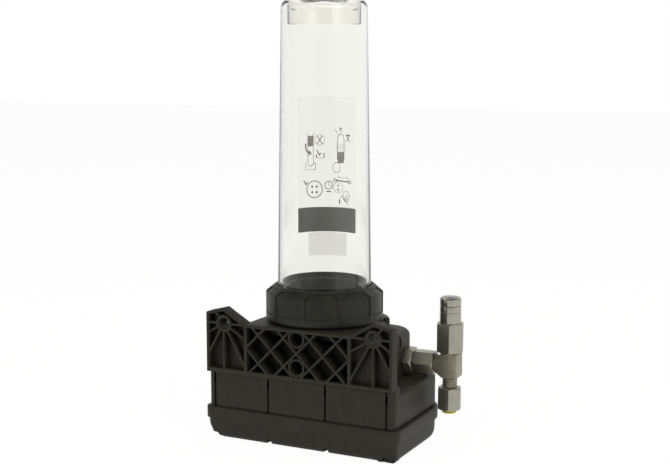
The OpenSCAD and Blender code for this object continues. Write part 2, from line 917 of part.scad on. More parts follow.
module collar_nut() {
    panel = 360 / grip_n - 2 * asin(grip_bar / 2 / collar_r);
    color("#32312d")
        difference() {
            rotate_extrude()
                polygon([[collar_bore_r, collar_z], [collar_r - collar_edge, collar_z],
                         [collar_r, collar_z + collar_edge], [collar_r, collar_side_z],
                         [collar_top_r, collar_top_z], [collar_lip_r, collar_top_z],
                         [collar_lip_r, collar_lip_z], [collar_bore_r, collar_lip_z]]);
            for (i = [0 : grip_n - 1])
                rotate([0, 0, grip_phase + i * 360 / grip_n + asin(grip_bar / 2 / collar_r)])
                    rotate_extrude(angle = panel)
                        polygon([[collar_r - grip_depth, collar_z + grip_low],
                                 [collar_r + over, collar_z + grip_low],
                                 [collar_r + over, collar_side_z + grip_high],
                                 [collar_r - grip_depth, collar_side_z + grip_high]]);
        }
}

// A film on the tube's tapered wall, centred on label_turn
function tube_r_at(z) =
    tube_r + (tube_top_r - tube_r) * (z - flange_z - flange_t)
             / (tube_z - tube_round - flange_z - flange_t);

module film(w, low, h, layer) {
    angle = w / tube_r_at(low + h / 2) * 180 / PI;
    rotate([0, 0, label_turn - angle / 2])
        rotate_extrude(angle = angle)
            polygon([[tube_r_at(low) + layer, low], [tube_r_at(low) + layer + label_t, low],
                     [tube_r_at(low + h) + layer + label_t, low + h],
                     [tube_r_at(low + h) + layer, low + h]]);
}

module instruction_label() {
    color([0.9, 0.9, 0.87, 0.8]) film(label_w, label_z, label_h, run / 2);
}

module date_sticker() {
    color("#d9d9cd") film(sticker_w, label_z - sticker_h - gap, sticker_h, run / 2);
}

// Motor, drawn along +X from its mounting face
module at_motor() {
    translate([motor_face_x, 0, motor_z]) rotate([0, 90, 0]) children();
}

module motor_can() {
    color("#a5a295") at_motor()
        difference() {
            union() {
                cylinder(r = motor_r, h = motor_l - cap_l);
                translate([0, 0, -motor_nose_l]) cylinder(r = motor_nose_r, h = motor_nose_l);
            }
            translate([0, 0, can_t]) cylinder(r = motor_r - can_t, h = motor_l);
            translate([0, 0, -motor_nose_l - over])
                cylinder(r = motor_axle_r + run, h = motor_l, $fn = small_n);
            for (a = motor_screw_angles)
                rotate([0, 0, a]) translate([motor_r * motor_screw_share, 0, -over])
                    cylinder(r = screw_r, h = can_t + 2 * over, $fn = small_n);
        }
}

module motor_magnets() {
    color("#3a3a3c") at_motor()
        for (a = [30, 210])
            rotate([0, 0, a]) translate([0, 0, can_t + magnet_gap])
                rotate_extrude(angle = 120)
                    translate([magnet_in_r, 0])
                        square([motor_r - can_t - magnet_in_r - run, magnet_l]);
}

module motor_rotor() {
    color("#6c6a63") at_motor()
        translate([0, 0, can_t + magnet_gap])
            difference() {
                union() {
                    for (a = [0, 120, 240])
                        rotate([0, 0, a]) translate([0, -rotor_r / 3, 0])
                            cube([rotor_r * rotor_reach_share, 2 * rotor_r / 3, magnet_l]);
                    cylinder(r = rotor_r / 2, h = magnet_l + commutator_l);
                }
                translate([0, 0, -over])
                    cylinder(r = motor_axle_r, h = motor_l, $fn = small_n);
            }
}

module motor_shaft() {
    front = motor_face_x - worm_bush_x + worm_bush_l + shaft_tip;
    color("#b4b2a8") at_motor()
        translate([0, 0, -front])
            cylinder(r = motor_axle_r, h = front + motor_l - cap_l / 2, $fn = small_n);
}

module motor_end_cap() {
    color("#23231f") at_motor()
        difference() {
            union() {
                translate([0, 0, motor_l - cap_l]) cylinder(r = motor_r, h = cap_l / 2);
                translate([0, 0, motor_l - cap_l])
                    cylinder(r = motor_r - can_t - wall, h = cap_l);
            }
            translate([0, 0, motor_l - cap_l - over])
                cylinder(r = motor_axle_r + run, h = cap_l / 2 + over + gap, $fn = small_n);
            for (s = [-1, 1])
                translate([terminal_x, s * terminal_y, motor_l - cap_l / 2])
                    cube([terminal_t + 2 * run, terminal_w + 2 * run, cap_l + 2 * over],
                         center = true);
        }
}

module motor_terminals() {
    color("#b8923a") at_motor()
        for (s = [-1, 1])
            translate([terminal_x, s * terminal_y, motor_l - cap_l / 2 + terminal_out / 2])
                cube([terminal_t, terminal_w, cap_l + terminal_out], center = true);
}

module motor_screws() {
    color("#8d8b83") at_motor()
        for (a = motor_screw_angles)
            rotate([0, 0, a])
                translate([motor_r * motor_screw_share, 0, -bulkhead_t - screw_head_h])
                    screw(screw_r - run, bulkhead_t + screw_head_h + can_t + magnet_gap / 2,
                          head_r - gap, screw_head_h);
}

// Right-hand single-start worm: the section's radius follows the thread's own profile
function thread_rise(share) =
    let (s = abs(share), a = worm_tip_share / 2, b = worm_base_share / 2)
        s < a ? 1 : s < b ? (b - s) / (b - a) : 0;
function worm_section_r(angle) =
    let (share = angle / 360, s = share > 0.5 ? share - 1 : share)
        worm_root_r + worm_thread_h * thread_rise(s);

module worm() {
    turns = worm_l / worm_pitch;
    lead_angle = -360 * (worm_l / 2) / worm_pitch;
    color("#8f8b80")
        translate([-shaft_x - worm_l / 2, 0, motor_z]) rotate([0, 90, 0])
            rotate([0, 0, 270 + lead_angle])
                difference() {
                    linear_extrude(worm_l, twist = -360 * turns, slices = worm_slices,
                                   $fn = worm_points)
                        polygon([for (i = [0 : worm_points - 1])
                            let (a = 360 * i / worm_points)
                                worm_section_r(a) * [cos(a), sin(a)]]);
                    translate([0, 0, -over]) cylinder(r = motor_axle_r, h = worm_l + 2 * over,
                                                      $fn = small_n);
                }
}

module worm_bush() {
    color("#b08a4a")
        translate([worm_bush_x, 0, motor_z]) rotate([0, -90, 0])
            tube_z(worm_bush_r, motor_axle_r + run, 0, worm_bush_l);
}

module at_shaft() {
    translate([-shaft_x, axis_y, 0]) children();
}

module worm_wheel() {
    step = 360 / wheel_teeth;
    color("#d8d4c4") at_shaft()
        translate([0, 0, motor_z - wheel_h / 2])
            difference() {
                union() {
                    cylinder(r = wheel_root_r, h = wheel_h);
                    for (i = [0 : wheel_teeth - 1])
                        rotate([0, 0, 90 + (i + 0.5) * step])
                            linear_extrude(wheel_h)
                                polygon([[wheel_root_r - wheel_sink, -worm_pitch * tooth_share / 2],
                                         [wheel_r, -worm_pitch * tooth_tip_share / 2],
                                         [wheel_r, worm_pitch * tooth_tip_share / 2],
                                         [wheel_root_r - wheel_sink, worm_pitch * tooth_share / 2]]);
                }
                translate([0, 0, -over]) cylinder(r = shaft_r, h = wheel_h + 2 * over);
                for (i = [0 : wheel_holes - 1])
                    rotate([0, 0, 360 * i / wheel_holes])
                        translate([(wheel_root_r + shaft_r) / 2, 0, -over])
                        cylinder(r = wheel_hole_r, h = wheel_h + 2 * over, $fn = small_n);
            }
}

module drive_shaft() {
    color("#b4b2a8") at_shaft()
        translate([0, 0, shaft_foot_z]) cylinder(r = shaft_r, h = shaft_top_z - shaft_foot_z);
}

module upper_bush() {
    color("#b08a4a") at_shaft() tube_z(bush_r, shaft_r + run, bush_z, bush_z + bush_h);
}

module shaft_seal() {
    color("#1c1c1a") at_shaft() tube_z(bush_r, shaft_r + run, bush_z + bush_h, chamber_z);
}

module lower_bush() {
    color("#b08a4a") at_shaft()
        tube_z(foot_bush_r, shaft_r + run, bearing_z, bearing_z + bearing_t);
}

module bearing_plate() {
    color("#9b998f")
        translate([0, 0, bearing_z])
            difference() {
                hull() {
                    for (p = pillar_places)
                        translate([p[0], p[1], 0]) cylinder(r = bearing_r, h = bearing_t,
                                                            $fn = hull_n);
                }
                at_shaft() translate([0, 0, -over])
                    cylinder(r = foot_bush_r + run, h = bearing_t + 2 * over);
                for (p = pillar_places)
                    translate([p[0], p[1], -over]) cylinder(r = screw_r + seat,
                                                            h = bearing_t + 2 * over,
                                                            $fn = small_n);
            }
}

module bearing_plate_screws() {
    color("#8d8b83")
        for (p = pillar_places)
            translate([p[0], p[1], bearing_z - screw_head_h])
                screw(screw_r - run, pillar_screw_l + screw_head_h, head_r, screw_head_h);
}

module eccentric_cam() {
    color("#9b998f") at_shaft()
        difference() {
            translate([-cam_offset, 0, outlet_z - cam_h / 2]) cylinder(r = cam_r, h = cam_h);
            translate([0, 0, outlet_z - cam_h]) cylinder(r = shaft_r, h = 2 * cam_h);
        }
}

module cam_ring() {
    color("#b4b2a8") at_shaft()
        translate([-cam_offset, 0, 0])
            tube_z(cam_ring_r, cam_r + run / 2, outlet_z - cam_h / 2 + gap, outlet_z + cam_h / 2 - gap);
}

module pump_element() {
    color("#a5a295") at_outlet()
        difference() {
            union() {
                rod_out(element_r, element_in_x, hex_x - element_in_x + nut_chamfer);
                translate([-hex_x, 0, 0]) rotate([0, -90, 0])
                    rotate([0, 0, 90]) hex_bar(element_af, element_hex_l, 0, hex_chamfer);
                rod_out(stud_r, hex_x, stud_end_x - hex_x);
            }
            rod_out(piston_r + run, element_in_x - over, element_bore_end - element_in_x + over);
            rod_out(seat_r, element_bore_end - over, seat_l + 2 * over);
            rod_out(stud_in_r, element_bore_end + seat_l, stud_end_x);
        }
}

module element_washer() {
    color("#b7733f") at_outlet()
        difference() {
            rod_out(washer_r, element_x, washer_t);
            rod_out(element_r + seat, element_x - over, washer_t + 2 * over);
        }
}

module pump_piston() {
    color("#b4b2a8") at_outlet() {
        rod_out(piston_head_r, piston_head_x, piston_head_t);
        rod_out(piston_r, piston_head_x, piston_end_x - piston_head_x);
    }
}

module piston_spring() {
    start = piston_head_x + piston_head_t + seat;
    color("#8f8b80") at_outlet()
        translate([-start, 0, 0]) rotate([0, -90, 0])
            coil(spring_r, wire_d, spring_turns, element_in_x - seat - start);
}

module check_ball() {
    color("#c9c7bf") at_outlet() translate([-ball_x, 0, 0]) sphere(r = ball_r, $fn = small_n);
}

module check_spring() {
    start = ball_x + ball_r + seat;
    color("#8f8b80") at_outlet()
        translate([-start, 0, 0]) rotate([0, -90, 0])
            coil(check_spring_r, check_wire_d, check_turns,
                 stud_end_x - check_plug_l - seat - start);
}

module check_plug() {
    start = stud_end_x - check_plug_l;
    color("#a5a295") at_outlet()
        difference() {
            rod_out(stud_in_r - run, start, check_plug_l);
            rod_out(check_plug_bore_r, start - over, check_plug_l + 2 * over);
        }
}

module union_nut() {
    color("#8f8c81") at_outlet()
        difference() {
            translate([-union_x, 0, 0]) rotate([0, -90, 0]) rotate([0, 0, 90 + union_turn])
                hex_bar(nut_af, union_l, nut_chamfer, nut_chamfer);
            rod_out(stud_r + seat, union_x - over, stud_end_x - union_x + over + gap);
            rod_out(neck_r + seat, union_x, union_l + 2 * over);
        }
}

module tee_outline() {
    left = tee_arm_x;
    right = tee_x + tee_w / 2;
    polygon([[-left, outlet_z - tee_edge_h], [-left, outlet_z + tee_edge_h],
             [-left - tee_chamfer, tee_high_z], [-right + tee_edge, tee_high_z],
             [-right, tee_high_z - tee_edge], [-right, tee_low_z + tee_edge],
             [-right + tee_edge, tee_low_z], [-left - tee_chamfer, tee_low_z]]);
}

module tee_body() {
    half = tee_t / 2;
    color("#a5a295")
        difference() {
            union() {
                upright(axis_y - half, axis_y + half) tee_outline();
                at_outlet() rod_out(neck_r, stud_end_x + gap, tee_x - stud_end_x - gap);
                translate([-tee_x, axis_y, tee_low_z - tee_neck_l])
                    cylinder(r = neck_r, h = tee_neck_l + over);
            }
            at_outlet() rod_out(tee_bore_r, stud_end_x - over, tee_x - stud_end_x + over);
            translate([-tee_x, axis_y, tee_low_z - tee_neck_l - over])
                cylinder(r = tee_bore_r, h = tee_h + tee_neck_l + 2 * over);
            translate([-tee_x, axis_y, tee_high_z - valve_neck_l])
                cylinder(r = valve_neck_r + seat, h = valve_neck_l + over);
        }
}

module at_tee() {
    translate([-tee_x, axis_y, 0]) children();
}

module relief_valve_body() {
    neck_low = tee_high_z - valve_neck_l + gap;
    color("#a5a295") at_tee()
        difference() {
            union() {
                translate([0, 0, neck_low])
                    cylinder(r = valve_neck_r, h = valve_z + valve_floor - neck_low);
                translate([0, 0, valve_z]) rotate([0, 0, valve_turn])
                    hex_bar(valve_af, valve_hex_h, nut_chamfer, nut_chamfer);
                translate([0, 0, valve_z]) cylinder(r = valve_d / 2, h = valve_groove_z - valve_z);
                translate([0, 0, valve_z])
                    cylinder(r = valve_d / 2 - valve_groove_w, h = valve_cap_z - valve_z);
            }
            translate([0, 0, neck_low - over])
                cylinder(r = seat_r, h = valve_z + valve_floor - neck_low + 2 * over);
            translate([0, 0, valve_z + valve_floor])
                cylinder(r = valve_bore_r, h = valve_round_h + valve_hex_h);
        }
}

module relief_valve_cap() {
    h = valve_top_z - valve_cap_z;
    cap_r = valve_d / 2;
    disc_r = cap_r * cap_disc_share;
    color("#8f8c81") at_tee() translate([0, 0, valve_cap_z]) {
        rotate_extrude()
            polygon([[0, 0], [cap_r, 0], [cap_r, h - cap_disc_h - cap_edge],
                     [cap_r - cap_edge, h - cap_disc_h], [disc_r, h - cap_disc_h],
                     [disc_r, h], [0, h]]);
        translate([0, 0, -valve_spigot]) cylinder(r = valve_bore_r - run, h = valve_spigot + run);
    }
}

module relief_ball() {
    color("#c9c7bf") at_tee() translate([0, 0, relief_ball_z]) sphere(r = ball_r, $fn = small_n);
}

module relief_spring() {
    start = relief_ball_z + ball_r + seat;
    color("#8f8b80") at_tee() translate([0, 0, start])
        coil(relief_spring_r, relief_wire_d, relief_turns,
             valve_cap_z - valve_spigot - seat - start);
}

module outlet_nut() {
    inner_z = tee_low_z - tee_neck_l - gap;
    color("#8f8c81") at_tee()
        difference() {
            translate([0, 0, outlet_nut_z]) rotate([0, 0, valve_turn])
                hex_bar(nut_af, outlet_nut_h, nut_chamfer, nut_chamfer);
            translate([0, 0, inner_z]) cylinder(r = neck_r + seat, h = outlet_nut_h);
            translate([0, 0, outlet_nut_z - over])
                cylinder(r = outlet_bore_r, h = inner_z - outlet_nut_z + 2 * over);
        }
}

module dust_plug() {
    pin_top = min(plug_pin_l, tee_low_z - tee_neck_l - 2 * gap - outlet_nut_z);
    color("#d8c800") at_tee() translate([0, 0, outlet_nut_z - plug_h]) {
        cylinder(r = plug_r, h = plug_h - run);
        cylinder(r = outlet_bore_r - run, h = plug_h + pin_top);
    }
}

// Connector on the side away from the outlet
module at_connector() {
    translate([socket_side_x, socket_side_y, socket_side_z]) rotate([0, 90, 0]) children();
}

module connector_socket() {
    color("#23231f") at_connector()
        difference() {
            union() {
                translate([0, 0, -2 * wall]) cylinder(r = plug_body_r, h = plug_l + 2 * wall);
                translate([0, 0, seal_t])
                    cylinder(r = plug_flange_r, h = plug_flange_t);
                for (a = [0, 180])
                    rotate([0, 0, a]) translate([plug_body_r, 0, plug_l - lug_l])
                        cylinder(r = lug_r, h = lug_l, $fn = small_n);
            }
            translate([0, 0, seal_t + plug_flange_t]) cylinder(r = plug_in_r, h = plug_l);
            for (i = [0 : pin_count - 1])
                rotate([0, 0, 45 + i * 360 / pin_count]) translate([pin_place_r, 0, -3 * wall])
                    cylinder(r = pin_r, h = plug_l + 3 * wall, $fn = small_n);
        }
}

module connector_pins() {
    color("#b8923a") at_connector()
        for (i = [0 : pin_count - 1])
            rotate([0, 0, 45 + i * 360 / pin_count]) translate([pin_place_r, 0, -3 * wall])
                cylinder(r = pin_r, h = pin_l, $fn = small_n);
}

module connector_seal() {
    color("#1c1c1a") at_connector() tube_z(plug_flange_r - gap, plug_body_r + seat, 0, seal_t);
}

module circuit_board() {
    color("#2f5a3a")
        difference() {
            translate([-board_w / 2, -board_front, board_z])
                cube([board_w, board_front + board_back, board_t]);
            for (p = board_places)
                translate([p[0], p[1], board_z - over]) cylinder(r = screw_r, h = board_t + 2 * over,
                                                                 $fn = small_n);
        }
}

module on_board(place) {
    translate([place[0], place[1], board_top_z]) children();
}

module board_capacitor() {
    color("#2c2f45") on_board(capacitor_place) cylinder(r = capacitor_r, h = capacitor_h);
}

module board_relay() {
    color("#26262a") on_board(relay_place) cube(relay_size);
}

module board_chip() {
    color("#1c1c1e") on_board(chip_place) cube(chip_size);
}

module board_screws() {
    color("#8d8b83")
        for (p = board_places)
            on_board(p) translate([0, 0, board_screw_head_h]) mirror([0, 0, 1])
                screw(screw_r - gap - run, board_screw_l, head_r - gap, board_screw_head_h);
}

housing_skirt();
housing_block();
housing_deck();
housing_plate();
housing_carriers();
lower_cover();
cover_gasket();
cover_screws();
reservoir_tube();
tube_seal();
collar_nut();
instruction_label();
date_sticker();
motor_can();
motor_magnets();
motor_rotor();
motor_shaft();
motor_end_cap();
motor_terminals();
motor_screws();
worm();
worm_bush();
worm_wheel();
drive_shaft();
upper_bush();
lower_bush();
shaft_seal();
bearing_plate();
bearing_plate_screws();
eccentric_cam();
cam_ring();
pump_element();
element_washer();
pump_piston();
piston_spring();
check_ball();
check_spring();
check_plug();
union_nut();
tee_body();
relief_valve_body();
relief_valve_cap();
relief_ball();
relief_spring();
outlet_nut();
dust_plug();
connector_socket();
connector_pins();
connector_seal();
circuit_board();
board_capacitor();
board_relay();
board_chip();
board_screws();
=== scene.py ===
"""Electric grease pump: the detailed visual model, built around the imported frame.

The row frame has +Z up, the tube axis on the Z axis, and the wall side at +Y.
Sizes in the classes below are in millimetres. Meshes are made in metres.
"""
import logging
import math
from dataclasses import dataclass, field
from enum import Enum
from typing import Callable, Dict, List, Optional, Sequence, Tuple

import bmesh
import bpy
from mathutils import Matrix, Vector


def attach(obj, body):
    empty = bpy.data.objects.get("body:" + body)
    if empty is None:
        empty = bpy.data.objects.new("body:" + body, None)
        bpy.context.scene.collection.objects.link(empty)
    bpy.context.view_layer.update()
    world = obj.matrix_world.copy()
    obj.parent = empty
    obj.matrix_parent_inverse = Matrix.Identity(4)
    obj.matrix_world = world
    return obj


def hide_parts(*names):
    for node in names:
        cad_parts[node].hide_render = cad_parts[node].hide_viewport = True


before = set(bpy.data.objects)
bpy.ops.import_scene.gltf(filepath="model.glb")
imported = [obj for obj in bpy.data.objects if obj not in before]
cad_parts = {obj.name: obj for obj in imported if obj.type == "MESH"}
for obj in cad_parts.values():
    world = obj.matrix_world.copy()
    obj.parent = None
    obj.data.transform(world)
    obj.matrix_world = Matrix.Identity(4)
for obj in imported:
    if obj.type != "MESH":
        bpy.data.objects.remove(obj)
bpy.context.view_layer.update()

LOG = logging.getLogger("grease_pump")
MM = 0.001
FINE_ROUND = 128
SMALL_ROUND = 64

Point2 = Tuple[float, float]
Point3 = Tuple[float, float, float]
Ring = List[Point3]
Piece = bpy.types.Object


class Caps(Enum):
    """Which open ends of a lofted skin get a flat face."""

    BOTH = "both"
    CLOSED_LOOP = "closed loop"


class GrainAxis(Enum):
    """The direction that a steel surface was drawn or turned along."""

    ALONG_X = (0.04, 1.0, 1.0)
    ALONG_Z = (1.0, 1.0, 0.04)
    ROUND_Z = (0.06, 0.06, 1.0)


# ---------------------------------------------------------------- mesh tools


def clear_selection() -> None:
    """Leave edit mode and deselect every object."""
    if bpy.context.object and bpy.context.object.mode != "OBJECT":
        bpy.ops.object.mode_set(mode="OBJECT")
    bpy.ops.object.select_all(action="DESELECT")


def make_active(obj: Piece) -> None:
    """Select one object alone and make it active."""
    clear_selection()
    obj.select_set(True)
    bpy.context.view_layer.objects.active = obj


def set_vertices(obj: Piece, ring: Ring) -> None:
    """Move the vertices of an object in edit mode to the points of a ring."""
    mesh = bmesh.from_edit_mesh(obj.data)
    for vertex, point in zip(mesh.verts, ring):
        vertex.co = Vector(point) * MM
    bmesh.update_edit_mesh(obj.data)


def extrude_to(obj: Piece, order: Dict[int, int], ring: Ring) -> Dict[int, int]:
    """Extrude the selected loop and move the new loop onto a ring.

    Args:
        obj: The object in edit mode, with the last loop selected.
        order: The place in its ring of each vertex of the last loop.
        ring: The points for the new loop.

    Returns:
        The place in its ring of each vertex of the new loop.
    """
    bpy.ops.mesh.extrude_edges_move()
    mesh = bmesh.from_edit_mesh(obj.data)
    mesh.verts.index_update()
    new_order: Dict[int, int] = {}
    for vertex in mesh.verts:
        if not vertex.select:
            continue
        for edge in vertex.link_edges:
            other = edge.other_vert(vertex)
            if not other.select:
                new_order[vertex.index] = order[other.index]
                break
    mesh.verts.ensure_lookup_table()
    for index, place in new_order.items():
        mesh.verts[index].co = Vector(ring[place]) * MM
    bmesh.update_edit_mesh(obj.data)
    return new_order


def select_first(obj: Piece, count: int) -> None:
    """Select only the first vertices of an object in edit mode."""
    bpy.ops.mesh.select_all(action="DESELECT")
    mesh = bmesh.from_edit_mesh(obj.data)
    mesh.verts.ensure_lookup_table()
    for index in range(count):
        mesh.verts[index].select = True
    mesh.select_flush(True)
    bmesh.update_edit_mesh(obj.data)


def loft(name: str, rings: Sequence[Ring], caps: Caps = Caps.BOTH) -> Piece:
    """Skin a row of rings with equal numbers of points.

    Args:
        name: The new object's name.
        rings: The rings in millimetres, from one end to the other.
        caps: Which ends are closed.

    Returns:
        The new object, with its place in its mesh.
    """
    clear_selection()
    count = len(rings[0])
    bpy.ops.mesh.primitive_circle_add(vertices=count, radius=1.0)
    obj = bpy.context.object
    obj.name = name
    bpy.ops.object.mode_set(mode="EDIT")
    bpy.ops.mesh.select_mode(type="VERT")
    bpy.ops.mesh.select_all(action="SELECT")
    set_vertices(obj, rings[0])
    order = {index: index for index in range(count)}
    for ring in rings[1:]:
        order = extrude_to(obj, order, ring)
    if caps is Caps.BOTH:
        bpy.ops.mesh.edge_face_add()
        select_first(obj, count)
        bpy.ops.mesh.edge_face_add()
    bpy.ops.mesh.select_all(action="SELECT")
    if caps is Caps.CLOSED_LOOP:
        bpy.ops.mesh.remove_doubles(threshold=MM * MM)
    bpy.ops.mesh.normals_make_consistent(inside=False)
    bpy.ops.object.mode_set(mode="OBJECT")
    return obj


def circle_ring(radius: float, z: float, count: int = FINE_ROUND) -> Ring:
    """The points of a level circle about the Z axis."""
    step = 2 * math.pi / count
    return [(radius * math.cos(i * step), radius * math.sin(i * step), z)
            for i in range(count)]


def round_profile(points: Sequence[Point2], radii: Sequence[float],
                  steps: int = 4) -> List[Point2]:
    """Round the corners of an open profile.

    Args:
        points: The corners of the profile.
        radii: The radius at each corner, 0 where it stays sharp.
        steps: The number of segments in each rounded corner.

    Returns:
        The points of the rounded profile.
    """
    out: List[Point2] = []
    for index, (point, radius) in enumerate(zip(points, radii)):
        if radius <= 0 or index in (0, len(points) - 1):
            out.append(point)
            continue
        corner = Vector(point)
        before = (Vector(points[index - 1]) - corner).normalized()
        after = (Vector(points[index + 1]) - corner).normalized()
        half = before.angle(after) / 2
        reach = radius / math.tan(half)
        centre = corner + (before + after).normalized() * (radius / math.sin(half))
        start = corner + before * reach - centre
        end = corner + after * reach - centre
        for step in range(steps + 1):
            arm = start.slerp(end, step / steps).normalized() * radius
            out.append((centre.x + arm.x, centre.y + arm.y))
    return out


def lathe(name: str, profile: Sequence[Point2], caps: Caps = Caps.BOTH,
          count: int = FINE_ROUND) -> Piece:
    """Turn a profile of (radius, height) points about the Z axis."""
    return loft(name, [circle_ring(radius, z, count) for radius, z in profile], caps)


def ring_solid(name: str, profile: Sequence[Point2], count: int = FINE_ROUND) -> Piece:
    """Turn a closed profile of (radius, height) points about the Z axis."""
    closed = list(profile) + [profile[0]]
    return lathe(name, closed, Caps.CLOSED_LOOP, count)


def move_mesh(obj: Piece, matrix: Matrix) -> Piece:
    """Move an object's mesh and leave the object at the origin."""
    obj.data.transform(matrix)
    obj.data.update()
    return obj


def shift(x: float, y: float, z: float) -> Matrix:
    """A move by millimetres."""
    return Matrix.Translation(Vector((x, y, z)) * MM)


def box(name: str, low: Point3, high: Point3, edge: float = 0.0,
        segments: int = 2) -> Piece:
    """A block between two corners with its edges bevelled.

    Args:
        name: The new object's name.
        low: Its lowest corner.
        high: Its highest corner.
        edge: The width of the bevel on its edges, or 0 for none.
        segments: The number of segments in the bevel.

    Returns:
        The new object.
    """
    clear_selection()
    bpy.ops.mesh.primitive_cube_add(size=1.0)
    obj = bpy.context.object
    obj.name = name
    size = [(b - a) * MM for a, b in zip(low, high)]
    middle = [(a + b) / 2 * MM for a, b in zip(low, high)]
    move_mesh(obj, Matrix.Translation(Vector(middle)) @ Matrix.Diagonal((*size, 1.0)))
    if edge > 0:
        bpy.ops.object.mode_set(mode="EDIT")
        bpy.ops.mesh.select_all(action="SELECT")
        bpy.ops.mesh.bevel(offset=edge * MM, segments=segments, affect="EDGES")
        bpy.ops.object.mode_set(mode="OBJECT")
    return obj


def rod(name: str, radius: float, low: float, high: float, edge: float = 0.2,
        count: int = SMALL_ROUND) -> Piece:
    """An upright round bar with a small bevel at both ends."""
    return lathe(name, [(radius - edge, low), (radius, low + edge), (radius, high - edge),
                        (radius - edge, high)], Caps.BOTH, count)


def boolean(obj: Piece, tool: Piece, operation: str = "DIFFERENCE") -> Piece:
    """Cut or trim an object with another, which is then removed."""
    make_active(obj)
    modifier = obj.modifiers.new("trim", "BOOLEAN")
    modifier.operation = operation
    modifier.solver = "EXACT"
    modifier.object = tool
    bpy.ops.object.modifier_apply(modifier=modifier.name)
    bpy.data.objects.remove(tool)
    return obj


def cut_all(obj: Piece, tools: Sequence[Piece]) -> Piece:
    """Cut an object with each of several tools."""
    for tool in tools:
        boolean(obj, tool)
    return obj


def soften(obj: Piece, width: float, segments: int = 2, angle: float = 35.0) -> Piece:
    """Bevel the sharp edges of a finished solid."""
    make_active(obj)
    modifier = obj.modifiers.new("edges", "BEVEL")
    modifier.width = width * MM
    modifier.segments = segments
    modifier.limit_method = "ANGLE"
    modifier.angle_limit = math.radians(angle)
    modifier.use_clamp_overlap = True
    bpy.ops.object.modifier_apply(modifier=modifier.name)
    return obj


def join(name: str, parts: Sequence[Piece]) -> Piece:
    """Join several objects in one."""
    clear_selection()
    for part in parts:
        part.select_set(True)
    bpy.context.view_layer.objects.active = parts[0]
    if len(parts) > 1:
        bpy.ops.object.join()
    parts[0].name = name
    return parts[0]


def smooth(obj: Piece, angle: float = 30.0) -> Piece:
    """Turn all faces outwards and shade them smooth where they meet at a small angle."""
    make_active(obj)
    bpy.ops.object.mode_set(mode="EDIT")
    bpy.ops.mesh.select_all(action="SELECT")
    bpy.ops.mesh.normals_make_consistent(inside=False)
    bpy.ops.object.mode_set(mode="OBJECT")
    bpy.ops.object.shade_smooth_by_angle(angle=math.radians(angle))
    return obj


def helix(name: str, section: Sequence[Point2], pitch: float, turns: int,
          start: float) -> Piece:
    """A thread ridge that climbs about the Z axis.

    Args:
        name: The new object's name.
        section: The ridge's section as (radius, height) points.
        pitch: The climb of one turn.
        turns: The number of turns.
        start: The height at which the ridge starts.

    Returns:
        The new object, closed at both ends.
    """
    clear_selection()
    bpy.ops.mesh.primitive_circle_add(vertices=len(section), radius=1.0)
    obj = bpy.context.object
    obj.name = name
    bpy.ops.object.mode_set(mode="EDIT")
    set_vertices(obj, [(radius, 0.0, z + start) for radius, z in section])
    bpy.ops.object.mode_set(mode="OBJECT")
    modifier = obj.modifiers.new("turns", "SCREW")
    modifier.axis = "Z"
    modifier.angle = 2 * math.pi
    modifier.screw_offset = pitch * MM
    modifier.iterations = turns
    modifier.steps = SMALL_ROUND
    modifier.render_steps = SMALL_ROUND
    bpy.ops.object.modifier_apply(modifier=modifier.name)
    bpy.ops.object.mode_set(mode="EDIT")
    bpy.ops.mesh.select_all(action="SELECT")
    bpy.ops.mesh.fill_holes(sides=0)
    bpy.ops.mesh.select_all(action="SELECT")
    bpy.ops.mesh.normals_make_consistent(inside=False)
    bpy.ops.object.mode_set(mode="OBJECT")
    return obj


def plan(half: float, rear: float, front: float, rear_r: float, front_r: float,
         z: float, shift_x: float = 0.0, steps: int = 10) -> Ring:
    """A level outline with its own corner radius at the rear and at the front."""
    ring: Ring = []
    corners = ((half, rear, rear_r, 0), (-half, rear, rear_r, 90),
               (-half, -front, front_r, 180), (half, -front, front_r, 270))
    for x, y, radius, start in corners:
        centre_x = x - math.copysign(radius, x)
        centre_y = y - math.copysign(radius, y)
        for step in range(steps + 1):
            angle = math.radians(start + 90 * step / steps)
            ring.append((centre_x + radius * math.cos(angle) + shift_x,
                         centre_y + radius * math.sin(angle), z))
    return ring


def edge_back(height: float, radius: float) -> float:
    """How far a rounded edge stands back at a height above its start."""
    if height >= radius:
        return 0.0
    return radius - math.sqrt(radius ** 2 - (radius - height) ** 2)


# ---------------------------------------------------------------- finishes


def linear(colour: str) -> Tuple[float, float, float, float]:
    """Turn an sRGB hex colour into linear values with full opacity."""
    values = []
    for start in (1, 3, 5):
        share = int(colour[start:start + 2], 16) / 255
        values.append(share / 12.92 if share <= 0.04045 else ((share + 0.055) / 1.055) ** 2.4)
    return (*values, 1.0)


def add_node(tree: bpy.types.NodeTree, kind: str, settings: Optional[dict] = None,
             links: Optional[dict] = None) -> bpy.types.Node:
    """Add a node with its settings and its links.

    Args:
        tree: The node tree.
        kind: The node's type name.
        settings: Values by property name, or by input name or number.
        links: Output sockets by the input name or number that they feed.

    Returns:
        The new node.
    """
    node = tree.nodes.new(kind)
    for key, value in (settings or {}).items():
        if isinstance(key, str) and hasattr(node, key):
            setattr(node, key, value)
        else:
            node.inputs[key].default_value = value
    for key, source in (links or {}).items():
        tree.links.new(source, node.inputs[key])
    return node


